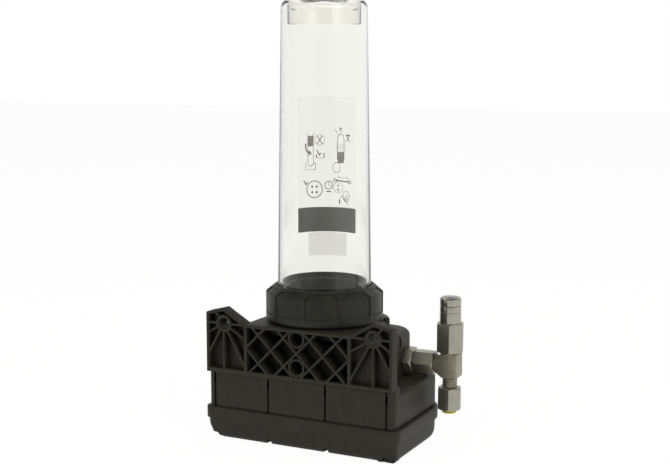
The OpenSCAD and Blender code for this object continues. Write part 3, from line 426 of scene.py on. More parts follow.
@dataclass(frozen=True)
class Finish:
    """A procedural finish: two close tones, a surface grain and a roughness drift."""

    name: str
    colour: str
    second: str
    roughness: float
    metallic: float = 0.0
    drift_mm: float = 14.0
    grain_mm: float = 0.6
    grain_depth_mm: float = 0.02
    grain_share: float = 0.35
    roughness_drift: float = 0.08
    stretch: Tuple[float, float, float] = (1.0, 1.0, 1.0)
    coat: float = 0.0
    specular: float = 0.5
    subsurface: float = 0.0
    alpha: float = 1.0

    def build(self) -> bpy.types.Material:
        """Make the material with its nodes.

        Returns:
            The material.
        """
        material = bpy.data.materials.new(self.name)
        material.use_nodes = True
        tree = material.node_tree
        shader = tree.nodes["Principled BSDF"]
        where = add_node(tree, "ShaderNodeTexCoord").outputs["Object"]
        drift = add_node(tree, "ShaderNodeTexNoise",
                         {"Scale": 1 / (self.drift_mm * MM), "Detail": 4.0},
                         {"Vector": where})
        stretched = add_node(tree, "ShaderNodeMapping", {"Scale": self.stretch},
                             {"Vector": where})
        grain = add_node(tree, "ShaderNodeTexNoise",
                         {"Scale": 1 / (self.grain_mm * MM), "Detail": 3.0,
                          "Roughness": 0.6},
                         {"Vector": stretched.outputs["Vector"]})
        share = add_node(tree, "ShaderNodeMix", {"data_type": "FLOAT",
                                                 "Factor": self.grain_share},
                         {2: drift.outputs["Fac"], 3: grain.outputs["Fac"]})
        tone = add_node(tree, "ShaderNodeMix",
                        {"data_type": "RGBA", 6: linear(self.colour),
                         7: linear(self.second)},
                        {0: self.spread(tree, share.outputs[0])})
        tree.links.new(tone.outputs[2], shader.inputs["Base Color"])
        rough = add_node(tree, "ShaderNodeMapRange",
                         {3: self.roughness - self.roughness_drift,
                          4: self.roughness + self.roughness_drift},
                         {0: share.outputs[0]})
        tree.links.new(rough.outputs[0], shader.inputs["Roughness"])
        bump = add_node(tree, "ShaderNodeBump",
                        {"Strength": 0.6, "Distance": self.grain_depth_mm * MM},
                        {"Height": grain.outputs["Fac"]})
        tree.links.new(bump.outputs["Normal"], shader.inputs["Normal"])
        shader.inputs["Metallic"].default_value = self.metallic
        shader.inputs["Coat Weight"].default_value = self.coat
        if self.metallic == 0:
            shader.inputs["Specular IOR Level"].default_value = self.specular
        if self.subsurface > 0:
            shader.inputs["Subsurface Weight"].default_value = self.subsurface
            shader.inputs["Subsurface Scale"].default_value = MM
        shader.inputs["Alpha"].default_value = self.alpha
        return material

    @staticmethod
    def spread(tree: bpy.types.NodeTree,
               value: bpy.types.NodeSocket) -> bpy.types.NodeSocket:
        """Widen a noise value, which stays near one half, to its full range."""
        node = add_node(tree, "ShaderNodeMapRange",
                        {"interpolation_type": "SMOOTHSTEP", 1: 0.3, 2: 0.7}, {0: value})
        return node.outputs[0]


@dataclass(frozen=True)
class ClearPolymer:
    """Clear cast acrylic: faint warm tint, high gloss and a slight waviness."""

    name: str = "clear_acrylic"
    colour: str = "#fafaf7"
    roughness: float = 0.01
    ior: float = 1.42
    wave_mm: float = 45.0
    wave_depth_mm: float = 0.03

    def build(self) -> bpy.types.Material:
        """Make the material with its nodes."""
        material = bpy.data.materials.new(self.name)
        material.use_nodes = True
        tree = material.node_tree
        shader = tree.nodes["Principled BSDF"]
        where = add_node(tree, "ShaderNodeTexCoord").outputs["Object"]
        wave = add_node(tree, "ShaderNodeTexNoise",
                        {"Scale": 1 / (self.wave_mm * MM), "Detail": 1.0},
                        {"Vector": where})
        haze = add_node(tree, "ShaderNodeMapRange", {3: self.roughness, 4: 3 * self.roughness},
                        {0: wave.outputs["Fac"]})
        bump = add_node(tree, "ShaderNodeBump",
                        {"Strength": 0.3, "Distance": self.wave_depth_mm * MM},
                        {"Height": wave.outputs["Fac"]})
        tree.links.new(haze.outputs[0], shader.inputs["Roughness"])
        tree.links.new(bump.outputs["Normal"], shader.inputs["Normal"])
        shader.inputs["Base Color"].default_value = linear(self.colour)
        shader.inputs["Transmission Weight"].default_value = 1.0
        shader.inputs["IOR"].default_value = self.ior
        return material


class Palette:
    """The finishes of the pump, each made once."""

    # Glass-filled nylon, moulded matt: warm black with a dusty bloom and fine spark grain
    HOUSING_NYLON = Finish("glass_filled_nylon", "#2a2923", "#34332c", 0.52, drift_mm=9.0,
                           grain_mm=0.5, grain_depth_mm=0.03, specular=0.26)
    # The nut is unfilled nylon, a touch greyer and smoother than the housing
    NUT_NYLON = Finish("moulded_nylon_nut", "#252520", "#2f2f29", 0.46, drift_mm=12.0,
                       grain_mm=0.4, grain_depth_mm=0.02, specular=0.26)
    # The cartridge socket sits deep in its bore: its colour is darkened as painted shade, and it
    # is glossy
    SOCKET_NYLON_PAINTED_SHADE = Finish("glossy_socket_nylon_painted_shade", "#111110", "#181816", 0.25, drift_mm=12.0,
                          grain_depth_mm=0.008, roughness_drift=0.05, specular=0.3)
    # Injection-moulded dark nylon of the socket, smooth
    CONNECTOR_NYLON = Finish("connector_nylon", "#22221f", "#2a2a26", 0.42)
    # Machined steel with zinc-nickel plating: warm grey, satin, drawn along the bar
    STEEL_X = Finish("plated_steel_bar_x", "#b4b1a3", "#a3a092", 0.38, metallic=0.82,
                     drift_mm=5.0, grain_mm=0.25, grain_depth_mm=0.003, grain_share=0.6,
                     roughness_drift=0.04, stretch=GrainAxis.ALONG_X.value)
    STEEL_Z = Finish("plated_steel_bar_z", "#b0ada1", "#9f9c90", 0.38, metallic=0.86,
                     drift_mm=5.0, grain_mm=0.25, grain_depth_mm=0.003, grain_share=0.6,
                     roughness_drift=0.04, stretch=GrainAxis.ALONG_Z.value)
    # The valve's round end is turned, so its marks run round it
    STEEL_TURNED = Finish("turned_plated_steel", "#b4b1a7", "#a3a096", 0.26, metallic=0.9,
                          drift_mm=9.0, grain_mm=0.22, grain_depth_mm=0.001,
                          grain_share=0.6, roughness_drift=0.03,
                          stretch=GrainAxis.ROUND_Z.value)
    # The tee is bead-blasted forged steel, matt and even
    STEEL_BLASTED = Finish("blasted_forged_steel", "#aca897", "#9c9887", 0.48, metallic=0.75,
                           drift_mm=4.0, grain_mm=0.3, grain_depth_mm=0.008)
    # Low-density polyethylene plug: saturated yellow, waxy
    YELLOW_POLYETHYLENE = Finish("yellow_polyethylene", "#dccb05", "#cdbb00", 0.4,
                                 drift_mm=3.0, subsurface=0.15)
    # Coated paper: dull greenish white with faint fibres
    STICKER_PAPER = Finish("coated_paper", "#dcdccf", "#d4d4c6", 0.6, drift_mm=5.0,
                           grain_mm=0.2, grain_depth_mm=0.01, specular=0.3, alpha=0.16)
    # Clear polyester label film: almost unseen, a faint milky veil
    LABEL_FILM = Finish("polyester_film", "#eeeee8", "#e8e8e2", 0.35, drift_mm=20.0,
                        alpha=0.04, specular=0.3)
    # Screen-printed ink, dark grey and matt
    DARK_INK = Finish("screen_ink_dark", "#37362d", "#403f36", 0.55, drift_mm=2.0,
                      specular=0.2)
    PALE_INK = Finish("screen_ink_pale", "#a7a69b", "#b6b5ab", 0.55, drift_mm=2.0,
                      specular=0.2)
    # Nitrile rubber: dull black
    NITRILE = Finish("nitrile_rubber", "#191917", "#20201e", 0.7, specular=0.35)
    ZINC_SCREW = Finish("zinc_screw", "#8d8b83", "#7f7d75", 0.34, metallic=1.0, drift_mm=2.0)
    HARDENED_STEEL = Finish("ground_steel", "#b4b2a8", "#a5a399", 0.22, metallic=1.0)
    SPRING_WIRE = Finish("spring_wire", "#7e7b72", "#6b6961", 0.3, metallic=1.0)
    LAMINATED_STEEL = Finish("laminated_steel", "#6c6a63", "#5d5b55", 0.5, metallic=1.0,
                             grain_mm=0.5, stretch=(1.0, 0.05, 0.05))
    FERRITE = Finish("ferrite", "#3a3a3c", "#313133", 0.65)
    BRONZE = Finish("sintered_bronze", "#8f6a3a", "#7b5a30", 0.45, metallic=1.0)
    BRASS = Finish("contact_brass", "#b8923a", "#a88431", 0.28, metallic=1.0)
    ACETAL = Finish("acetal_wheel", "#dcd8c8", "#d2cdbb", 0.4, subsurface=0.1)
    LAMINATE = Finish("board_laminate", "#2f5a3a", "#295033", 0.35, coat=0.3)
    SLEEVE = Finish("capacitor_sleeve", "#2c2f45", "#26293c", 0.35)
    CHIP_RESIN = Finish("epoxy_resin", "#1c1c1e", "#232325", 0.5)

    def __init__(self) -> None:
        """Start with no material made."""
        self._made: Dict[str, bpy.types.Material] = {}

    def get(self, finish: object) -> bpy.types.Material:
        """Make a finish's material, or take the one that is made."""
        if finish.name not in self._made:
            self._made[finish.name] = finish.build()
        return self._made[finish.name]


PALETTE = Palette()


def dress(obj: Piece, finish: object) -> None:
    """Give an object one finish in place of what it has."""
    obj.data.materials.clear()
    obj.data.materials.append(PALETTE.get(finish))


def hand_over(obj: Piece, body: str, slot: str, *nodes: str) -> Piece:
    """Make a piece ride on a body and stand for its CAD nodes.

    Args:
        obj: The piece.
        body: The body that it rides on.
        slot: The name of a material slot of the record; not used.
        nodes: The CAD nodes that it replaces.

    Returns:
        The piece.
    """
    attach(obj, body)
    if nodes:
        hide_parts(*nodes)
    triangles = sum(len(polygon.vertices) - 2 for polygon in obj.data.polygons)
    LOG.info("%s: %d triangles on %s", obj.name, triangles, body)
    return obj


# ---------------------------------------------------------------- studio


@dataclass
class Studio:
    """Camera, soft lamps, pale floor and a white world."""

    camera_at: Point3 = (-0.3484, 0.6834, 0.2376)
    look: Point3 = (0.4423, -0.8867, -0.1345)
    lens: float = 64.79
    sensor: float = 36.0
    ambient: float = 0.34
    gloss_axis: Point3 = (-0.72, -0.52, 0.46)
    gloss_span: Point2 = (-0.8, 0.5)
    gloss_low: float = 0.42
    ceiling_span: Point2 = (0.3, 0.9)
    ceiling: float = 0.25
    room_axis: Point3 = (-0.44, 0.89, 0.13)
    room_span: Point2 = (0.84, 0.97)
    dim_room: float = 0.2
    lamp_aim: Point3 = (0.0, 0.0, 0.12)
    lamps: Tuple[Tuple[str, Point3, Point2, float], ...] = (
        ("left_softbox", (0.55, 1.25, 0.85), (1.1, 1.1), 5.0),
        ("right_softbox", (-1.3, 0.55, 0.75), (0.8, 1.0), 6.0),
        ("top_softbox", (-0.1, -0.15, 1.5), (1.0, 1.0), 3.5))
    floor_drop: float = 0.0003
    floor_size: float = 12.0
    floor_white: float = 0.9
    floor_glow: float = 1.05
    floor_gloss: float = 0.75

    def place_camera(self) -> None:
        """Set the camera at the photograph's angle."""
        data = bpy.data.cameras.new("photo_camera")
        data.lens = self.lens
        data.sensor_width = self.sensor
        data.clip_start = 0.01
        camera = bpy.data.objects.new("photo_camera", data)
        bpy.context.scene.collection.objects.link(camera)
        camera.location = self.camera_at
        camera.rotation_euler = Vector(self.look).to_track_quat("-Z", "Y").to_euler()
        bpy.context.scene.camera = camera

    def hang_lamp(self, name: str, place: Point3, size: Point2, power: float) -> None:
        """Hang one softbox that points at the middle of the pump and that no gloss mirrors.

        Args:
            name: The lamp's name.
            place: Where it hangs, in metres.
            size: Its width and height in metres.
            power: Its power in watts.
        """
        data = bpy.data.lights.new(name, "AREA")
        data.shape = "RECTANGLE"
        data.size, data.size_y = size
        data.energy = power
        data.color = linear("#fffcf6")[:3]
        lamp = bpy.data.objects.new(name, data)
        bpy.context.scene.collection.objects.link(lamp)
        lamp.location = place
        lamp.visible_glossy = False
        aim = Vector(self.lamp_aim) - Vector(place)
        lamp.rotation_euler = aim.to_track_quat("-Z", "Y").to_euler()

    @staticmethod
    def toward(tree: bpy.types.NodeTree, where: bpy.types.Node,
               axis: Point3) -> bpy.types.NodeSocket:
        """How far a ray of the world points along an axis, from -1 to 1."""
        node = add_node(tree, "ShaderNodeVectorMath", {"operation": "DOT_PRODUCT", 1: axis},
                        {0: where.outputs["Generated"]})
        return node.outputs["Value"]

    @staticmethod
    def fade(tree: bpy.types.NodeTree, value: bpy.types.NodeSocket, span: Point2,
             levels: Point2) -> bpy.types.NodeSocket:
        """Turn a value softly from one level to another over a span."""
        node = add_node(tree, "ShaderNodeMapRange",
                        {"interpolation_type": "SMOOTHSTEP", 1: span[0], 2: span[1],
                         3: levels[0], 4: levels[1]}, {0: value})
        return node.outputs[0]

    @staticmethod
    def seen_through(tree: bpy.types.NodeTree, path: bpy.types.Node) -> bpy.types.Node:
        """1 for rays that the camera sends, also through glass, and 0 for others."""
        return add_node(tree, "ShaderNodeMath", {"operation": "MAXIMUM"},
                        {0: path.outputs["Is Camera Ray"],
                         1: path.outputs["Is Transmission Ray"]})

    def light_world(self) -> None:
        """White to the camera, to glass and to gloss, and a plain grey to matt surfaces."""
        world = bpy.data.worlds.new("studio_world")
        bpy.context.scene.world = world
        world.use_nodes = True
        tree = world.node_tree
        tree.nodes.clear()
        path = add_node(tree, "ShaderNodeLightPath")
        where = add_node(tree, "ShaderNodeTexCoord")
        aside = self.toward(tree, where, self.gloss_axis)
        gloss = self.fade(tree, aside, self.gloss_span, (self.gloss_low, 1.0))
        height = add_node(tree, "ShaderNodeSeparateXYZ", None,
                          {0: where.outputs["Generated"]})
        ceiling = self.fade(tree, height.outputs["Z"], self.ceiling_span,
                            (1.0, self.ceiling))
        room = self.fade(tree, self.toward(tree, where, self.room_axis), self.room_span,
                         (1.0, self.dim_room))
        upper = add_node(tree, "ShaderNodeMath", {"operation": "MULTIPLY"},
                         {0: gloss, 1: ceiling})
        mirrored = add_node(tree, "ShaderNodeMath", {"operation": "MULTIPLY"},
                            {0: upper.outputs[0], 1: room})
        seen = self.seen_through(tree, path)
        matt = add_node(tree, "ShaderNodeMix", {"data_type": "FLOAT", 2: self.ambient},
                        {0: path.outputs["Is Glossy Ray"], 3: mirrored.outputs[0]})
        level = add_node(tree, "ShaderNodeMix", {"data_type": "FLOAT", 3: 1.0},
                         {0: seen.outputs[0], 2: matt.outputs[0]})
        sky = add_node(tree, "ShaderNodeBackground", {"Color": linear("#ffffff")},
                       {"Strength": level.outputs[0]})
        add_node(tree, "ShaderNodeOutputWorld", None, {"Surface": sky.outputs[0]})

    def lay_floor(self) -> None:
        """Lay the pale floor, which keeps a faint shadow."""
        clear_selection()
        bpy.ops.mesh.primitive_plane_add(size=self.floor_size,
                                         location=(0, 0, -self.floor_drop))
        floor = bpy.context.object
        floor.name = "floor"
        material = bpy.data.materials.new("pale_floor")
        material.use_nodes = True
        tree = material.node_tree
        tree.nodes.clear()
        path = add_node(tree, "ShaderNodeLightPath")
        paper = add_node(tree, "ShaderNodeBsdfDiffuse", {"Color": linear("#f4f4f2")})
        white = add_node(tree, "ShaderNodeEmission", {"Color": linear("#ffffff"),
                                                      "Strength": self.floor_glow})
        seen = self.seen_through(tree, path)
        gloss = add_node(tree, "ShaderNodeMath", {"operation": "MULTIPLY",
                                                  1: self.floor_gloss},
                         {0: path.outputs["Is Glossy Ray"]})
        white_share = add_node(tree, "ShaderNodeMath", {"operation": "MULTIPLY",
                                                        1: self.floor_white},
                               {0: seen.outputs[0]})
        share = add_node(tree, "ShaderNodeMath", {"operation": "MAXIMUM"},
                         {0: white_share.outputs[0], 1: gloss.outputs[0]})
        surface = add_node(tree, "ShaderNodeMixShader", None,
                           {0: share.outputs[0], 1: paper.outputs[0], 2: white.outputs[0]})
        add_node(tree, "ShaderNodeOutputMaterial", None, {"Surface": surface.outputs[0]})
        floor.data.materials.append(material)

    def build(self) -> None:
        """Set up everything that is not part of the pump."""
        bpy.context.scene.view_settings.view_transform = "Standard"
        self.place_camera()
        self.light_world()
        for name, place, size, power in self.lamps:
            self.hang_lamp(name, place, size, power)
        self.lay_floor()


# ---------------------------------------------------------------- housing


@dataclass
class HousingMoulding:
    """The moulded housing: skirt, block, deck, wall plate and cartridge socket."""

    skirt_half: float = 65.8
    rear: float = 37.0
    front: float = 43.0
    seam_z: float = 21.2
    skirt_z: float = 41.5
    skirt_edge: float = 3.0
    wall: float = 2.5
    block_half: float = 49.0
    block_rear: float = 33.1
    block_front: float = 40.5
    block_z: float = 69.0
    block_edge: float = 4.0
    deck_half: float = 39.0
    deck_front: float = 39.875
    deck_z: float = 76.7
    cavity_z: float = 61.0
    cavity_rear: float = 25.0
    plate_half: float = 65.5
    plate_low: float = 44.5
    plate_back: float = 31.7
    wall_y: float = 39.5
    ear_side: float = 82.9
    ear_peak: float = 86.3
    hole_x: float = 52.5
    hole_z: float = 76.1
    hole_r: float = 3.5
    boss_r: float = 5.6
    post_x: float = 36.48
    post_t: float = 2.1
    rib_t: float = 1.4
    rim_t: float = 2.0
    panel_y: float = 33.5
    well_y: float = 27.5
    lattice_pitch: float = 9.12
    lattice_z: float = 61.8
    socket_r: float = 27.8
    bore_r: float = 25.2
    socket_z: float = 97.2
    socket_floor: float = 65.0
    chamber_x: float = -8.0
    chamber_y: float = -20.7
    chamber_r: float = 13.0
    grooves: Tuple[float, ...] = (-60.6, -19.0, 21.4, 60.6)
    groove_half: float = 0.75
    port_r: float = 9.1
    element_r: float = 7.1
    plate_corner_r: float = 1.1
    spokes: Tuple[int, ...] = (0, 130, 180, 210, 240, 270, 300, 330)
    edge: float = 0.28

    def shell(self, name: str, half: float, rear: float, front: float, rear_r: float,
              front_r: float, low: float, high: float, edge: float,
              inner: Optional[Tuple[float, float, float]] = None) -> Piece:
        """A moulded shell with a rounded top edge, open below when it has a cavity.

        Args:
            name: The new object's name.
            half: Half its width.
            rear: How far it reaches to the rear.
            front: How far it reaches to the front.
            rear_r: The corner radius at the rear.
            front_r: The corner radius at the front.
            low: The height of its lower rim.
            high: The height of its top.
            edge: The radius of its top edge.
            inner: The cavity's rear and top, and its wall's thickness.

        Returns:
            The new object.
        """
        rings: List[Ring] = []
        if inner:
            inner_rear, inner_top, wall = inner
            for z in (inner_top, low):
                rings.append(plan(half - wall, inner_rear, front - wall, 1.5,
                                  front_r - wall, z))
        rings.append(plan(half, rear, front, rear_r, front_r, low))
        steps = 6
        for step in range(steps + 1):
            angle = math.pi / 2 * step / steps
            back = edge * (1 - math.cos(angle))
            rings.append(plan(half - back, rear - back, front - back,
                              max(rear_r - back, 0.4), front_r - back,
                              high - edge + edge * math.sin(angle)))
        return loft(name, rings)

    def well_tool(self) -> Piece:
        """The space of the deep lattice pockets behind the plate."""
        reach = self.post_x - self.post_t / 2
        return box("well_tool", (-reach, self.well_y, self.plate_low + self.rim_t),
                   (reach, self.wall_y + 4, self.deck_z - self.rim_t))

    def groove_tools(self, low: float, high: float) -> List[Piece]:
        """The narrow grooves down the rear wall."""
        return [box("groove_tool", (x - self.groove_half, self.rear - 1.6, low),
                    (x + self.groove_half, self.rear + 4, high))
                for x in self.grooves]

    def body_parts(self) -> List[Piece]:
        """The skirt, the upper block and the deck."""
        skirt = self.shell("skirt", self.skirt_half, self.rear, self.front, 4.0, 17.0,
                           self.seam_z, self.skirt_z, self.skirt_edge,
                           (self.rear - 4.1, self.skirt_z - self.wall, self.wall))
        cut_all(skirt, self.groove_tools(self.seam_z - 1, self.plate_low))
        strip = self.shell("rear_strip", self.skirt_half - 0.01, self.rear - 0.01, self.front,
                           4.0, 17.0, 36.0, 46.3, 0.3)
        boolean(strip, box("strip_tool", (-70.0, 29.2, 30.0), (70.0, 40.0, 50.0)),
                "INTERSECT")
        cut_all(strip, self.groove_tools(30, self.plate_low))
        block = self.shell("block", self.block_half, self.block_rear, self.block_front, 1.4,
                           18.0, 39.2, self.block_z, self.block_edge,
                           (self.cavity_rear, self.cavity_z, self.wall))
        deck = self.shell("deck", self.deck_half, self.block_rear, self.deck_front, 1.4, 30.0,
                          66.0, self.deck_z, 1.2)
        slot = box("slot_tool", (-52.0, -12.0, 60.6), (-47.4, -8.8, 67.4), 0.5)
        chamber = rod("chamber_tool", self.chamber_r, 30.0, self.socket_floor + 1, 0.0)
        move_mesh(chamber, shift(self.chamber_x, self.chamber_y, 0))
        side = rod("element_tool", self.element_r, 40.0, 60.0, 0.0)
        move_mesh(side, self.outlet_place())
        port = rod("socket_tool", self.port_r, 40.0, 60.0, 0.0)
        move_mesh(port, shift(0, 4, 55.5) @ Matrix.Rotation(math.pi / 2, 4, "Y"))
        cut_all(block, [self.bore_tool(), self.well_tool(), slot, chamber, side, port])
        cut_all(deck, [self.bore_tool(), self.well_tool()])
        return [skirt, strip, block, deck]

    def outlet_place(self) -> Matrix:
        """Turns a piece on +Z onto the outlet's axis, which points to -X."""
        return shift(0, self.chamber_y, 50.5) @ Matrix.Rotation(-math.pi / 2, 4, "Y")

    def bore_tool(self) -> Piece:
        """The bore of the cartridge socket."""
        return rod("bore_tool", self.bore_r, self.socket_floor, 120.0, 0.0, FINE_ROUND)

    def plate_outline(self, inset: float, y: float) -> Ring:
        """The plate's outline with rounded corners, drawn inwards by an amount."""
        rim = [(self.plate_half, self.plate_low), (self.plate_half, self.ear_side),
               (self.hole_x, self.ear_peak), (self.post_x, self.deck_z),
               (-self.post_x, self.deck_z), (-self.hole_x, self.ear_peak),
               (-self.plate_half, self.ear_side), (-self.plate_half, self.plate_low)]
        count = len(rim)
        corners: List[Vector] = []
        for index in range(count):
            before = Vector(rim[index]) - Vector(rim[index - 1])
            after = Vector(rim[(index + 1) % count]) - Vector(rim[index])
            normal_a = Vector((-before.y, before.x)).normalized()
            normal_b = Vector((-after.y, after.x)).normalized()
            middle = (normal_a + normal_b).normalized()
            corners.append(Vector(rim[index]) + middle * inset / middle.dot(normal_a))
        radius = self.plate_corner_r
        ring: Ring = []
        for index, corner in enumerate(corners):
            before = (corners[index - 1] - corner).normalized()
            after = (corners[(index + 1) % count] - corner).normalized()
            half = before.angle(after) / 2
            reach = radius / math.tan(half)
            centre = corner + (before + after).normalized() * radius / math.sin(half)
            start = corner + before * reach - centre
            end = corner + after * reach - centre
            for step in range(4):
                arm = start.slerp(end, step / 3)
                ring.append((centre.x + arm.x, y, centre.y + arm.y))
        return ring

    def plate_frame(self) -> Piece:
        """The plate's rim and panel."""
        edge = self.edge
        front = self.wall_y
        rings = [self.plate_outline(edge, self.plate_back),
                 self.plate_outline(0.0, self.plate_back + edge),
                 self.plate_outline(0.0, front - edge),
                 self.plate_outline(edge * 0.3, front - edge * 0.3),
                 self.plate_outline(edge, front),
                 self.plate_outline(self.rim_t - edge, front),
                 self.plate_outline(self.rim_t, front - edge),
                 self.plate_outline(self.rim_t, self.panel_y)]
        frame_piece = loft("plate_frame", rings)
        reach = self.post_x - self.post_t / 2
        well = box("panel_tool", (-reach, self.plate_back - 3, self.plate_low + self.rim_t),
                   (reach, self.panel_y + 0.5, self.deck_z - self.rim_t))
        holes = []
        for side in (-1, 1):
            hole = rod("hole_tool", self.hole_r, -60.0, 0.0, 0.0)
            holes.append(move_mesh(hole, shift(side * self.hole_x, 0, self.hole_z)
                                   @ Matrix.Rotation(math.pi / 2, 4, "X")))
        return cut_all(frame_piece, [well, *holes])

    def clip(self, start: Vector, end: Vector, low_x: float,
             high_x: float) -> Optional[Tuple[Vector, Vector]]:
        """Clip a rib's middle line to the plate's outline and to a range of X.

        Args:
            start: One end of the line, in X and Z.
            end: The other end.
            low_x: The lowest X that the rib may reach.
            high_x: The highest X that the rib may reach.

        Returns:
            The two ends that are left, or None.
        """
        ring = [Vector((p[0], p[2])) for p in self.plate_outline(self.rim_t / 2, 0.0)]
        inside = []
        steps = 600
        for index in range(steps + 1):
            point = start.lerp(end, index / steps)
            if not low_x <= point.x <= high_x:
                continue
            crossings = 0
            for a, b in zip(ring, ring[1:] + ring[:1]):
                if (a.y > point.y) != (b.y > point.y):
                    if point.x < a.x + (point.y - a.y) * (b.x - a.x) / (b.y - a.y):
                        crossings += 1
            if crossings % 2:
                inside.append(point)
        if len(inside) < 2:
            return None
        return inside[0], inside[-1]

    def rib(self, start: Vector, end: Vector, thickness: float, back: float,
            front: float) -> Piece:
        """One upright rib between two points of the plate, with softened front edges."""
        length = (end - start).length
        angle = math.atan2(end.y - start.y, end.x - start.x)
        piece = box("rib", (0.0, back, -thickness / 2), (length, front, thickness / 2),
                    self.edge)
        return move_mesh(piece, shift(start.x, 0, start.y) @ Matrix.Rotation(-angle, 4, "Y"))

    def plate_ribs(self) -> List[Piece]:
        """The lattice, the posts, the rings and the ear spokes."""
        parts: List[Piece] = []
        reach = 4 * self.lattice_pitch
        for slope, lower in ((45, 0.05), (135, 0.09)):
            direction = Vector((math.cos(math.radians(slope)), math.sin(math.radians(slope))))
            for k in range(-3, 4):
                centre = Vector((2 * k * self.lattice_pitch, self.lattice_z))
                ends = self.clip(centre - direction * reach, centre + direction * reach,
                                 -self.post_x, self.post_x)
                if ends:
                    parts.append(self.rib(ends[0], ends[1], self.rib_t, 26.8,
                                          self.wall_y - lower))
        for side in (-1, 1):
            x = side * self.post_x
            parts.append(box("post", (x - self.post_t / 2, 26.8, self.plate_low + 1),
                             (x + self.post_t / 2, self.wall_y - 0.02, self.deck_z - 0.6),
                             self.edge))
            boss = ring_solid("boss", [(self.hole_r, self.plate_back - 3.0),
                                       (self.boss_r - 0.4, self.plate_back - 3.0),
                                       (self.boss_r, self.plate_back - 0.5),
                                       (self.boss_r, self.wall_y - self.edge),
                                       (self.boss_r - self.edge, self.wall_y + 0.0),
                                       (self.hole_r + 0.5, self.wall_y + 0.0),
                                       (self.hole_r, self.wall_y - 0.5)], SMALL_ROUND)
            move_mesh(boss, shift(side * self.hole_x, 0, self.hole_z)
                      @ Matrix.Rotation(-math.pi / 2, 4, "X"))
            parts.append(boss)
            hub = Vector((side * self.hole_x, self.hole_z))
            for spoke in self.spokes:
                angle = math.radians(180 - spoke)
                direction = Vector((side * math.cos(angle), math.sin(angle)))
                limits = sorted((x, side * self.plate_half))
                ends = self.clip(hub + direction * 4.6, hub + direction * 50, *limits)
                if ends:
                    parts.append(self.rib(ends[0], ends[1], self.rib_t, self.panel_y - 0.5,
                                          self.wall_y - 0.06))
        for z in (self.lattice_z - self.lattice_pitch, self.lattice_z + self.lattice_pitch):
            ring = ring_solid("lattice_ring", [(4.45, 27.0), (5.75, 27.0),
                                               (5.75, self.wall_y - 0.3),
                                               (5.5, self.wall_y - 0.03),
                                               (4.7, self.wall_y - 0.03),
                                               (4.45, self.wall_y - 0.3)], SMALL_ROUND)
            parts.append(move_mesh(ring, shift(0, 0, z) @ Matrix.Rotation(-math.pi / 2, 4, "X")))
        parts.append(box("lip", (2.4, 35.6, 43.7), (self.plate_half, self.wall_y - 0.02, 45.7),
                         0.35))
        return parts

    def socket_parts(self) -> List[Piece]:
        """The cartridge socket with its inner thread, and the ring that holds the nut."""
        socket = ring_solid("socket", round_profile(
            [(self.bore_r, self.socket_floor - 0.5), (self.socket_r, self.socket_floor - 0.5),
             (self.socket_r, self.socket_z), (self.bore_r, self.socket_z),
             (self.bore_r, self.socket_floor)], [0, 0, 0.5, 0.4, 0]))
        thread = helix("socket_thread", [(25.4, 0.0), (25.4, 2.0), (24.5, 1.35), (24.5, 0.65)],
                       3.4, 8, 69.0)
        ring = ring_solid("nut_ring", [(30.7, self.deck_z - 0.8), (34.4, self.deck_z - 0.8),
                                       (34.4, 89.3), (34.0, 89.7), (30.9, 89.7),
                                       (30.7, 89.5)])
        floor = ring_solid("nut_ring_foot", [(27.0, self.deck_z - 2.0),
                                             (35.4, self.deck_z - 2.0),
                                             (35.4, self.deck_z + 0.1),
                                             (34.6, self.deck_z + 0.5),
                                             (27.0, self.deck_z + 0.5)])
        # The socket and its thread take the darker finish, which paints the shade of the deep bore
        for part in (socket, thread):
            dress(part, Palette.SOCKET_NYLON_PAINTED_SHADE)
        return [socket, thread, ring, floor]

    def inner_parts(self) -> List[Piece]:
        """The grease chamber, unseen inside."""
        chamber = ring_solid("chamber", [(self.chamber_r, 42.0), (16.0, 42.0), (16.0, 62.0),
                                         (self.chamber_r, 62.0)], SMALL_ROUND)
        base = ring_solid("chamber_base", [(6.6, 38.0), (16.0, 38.0), (16.0, 42.1),
                                           (6.6, 42.1)], SMALL_ROUND)
        for part in (chamber, base):
            move_mesh(part, shift(self.chamber_x, self.chamber_y, 0))
        holes = rod("element_tool", self.element_r, 5.0, 60.0, 0.0)
        move_mesh(holes, self.outlet_place())
        boolean(chamber, holes)
        return [chamber, base]

    def trim_parts(self) -> List[Piece]:
        """The small moulded details beside the outlet and on the deck."""
        swell = lathe("outlet_swell", [(7.4, 38.0), (7.4, 41.6), (6.6, 42.7), (5.0, 43.5),
                                       (2.6, 44.0), (0.4, 44.1)], Caps.BOTH, SMALL_ROUND)
        move_mesh(swell, shift(-56.5, -22.0, 0) @ Matrix.Diagonal((1.0, 1.25, 1.0, 1.0)))
        knob = lathe("deck_knob", [(2.2, 70.0), (2.2, 77.2), (1.9, 78.0), (1.1, 78.5),
                                   (0.2, 78.6)], Caps.BOTH, SMALL_ROUND)
        move_mesh(knob, shift(-37.6, -14.0, 0))
        return [swell, knob]

    def build(self) -> Piece:
        """Build, dress and hand over the housing."""
        parts = self.body_parts()
        parts.append(self.plate_frame())
        parts += self.plate_ribs()
        parts += self.socket_parts()
        parts += self.inner_parts()
        parts += self.trim_parts()
        for part in parts:
            if not part.data.materials:
                dress(part, Palette.HOUSING_NYLON)
        housing = smooth(join("housing_moulding", parts), 32.0)
        return hand_over(housing, "pump", "black_plastic", "housing_skirt",
                         "housing_block", "housing_deck", "housing_plate")


# ---------------------------------------------------------------- cover


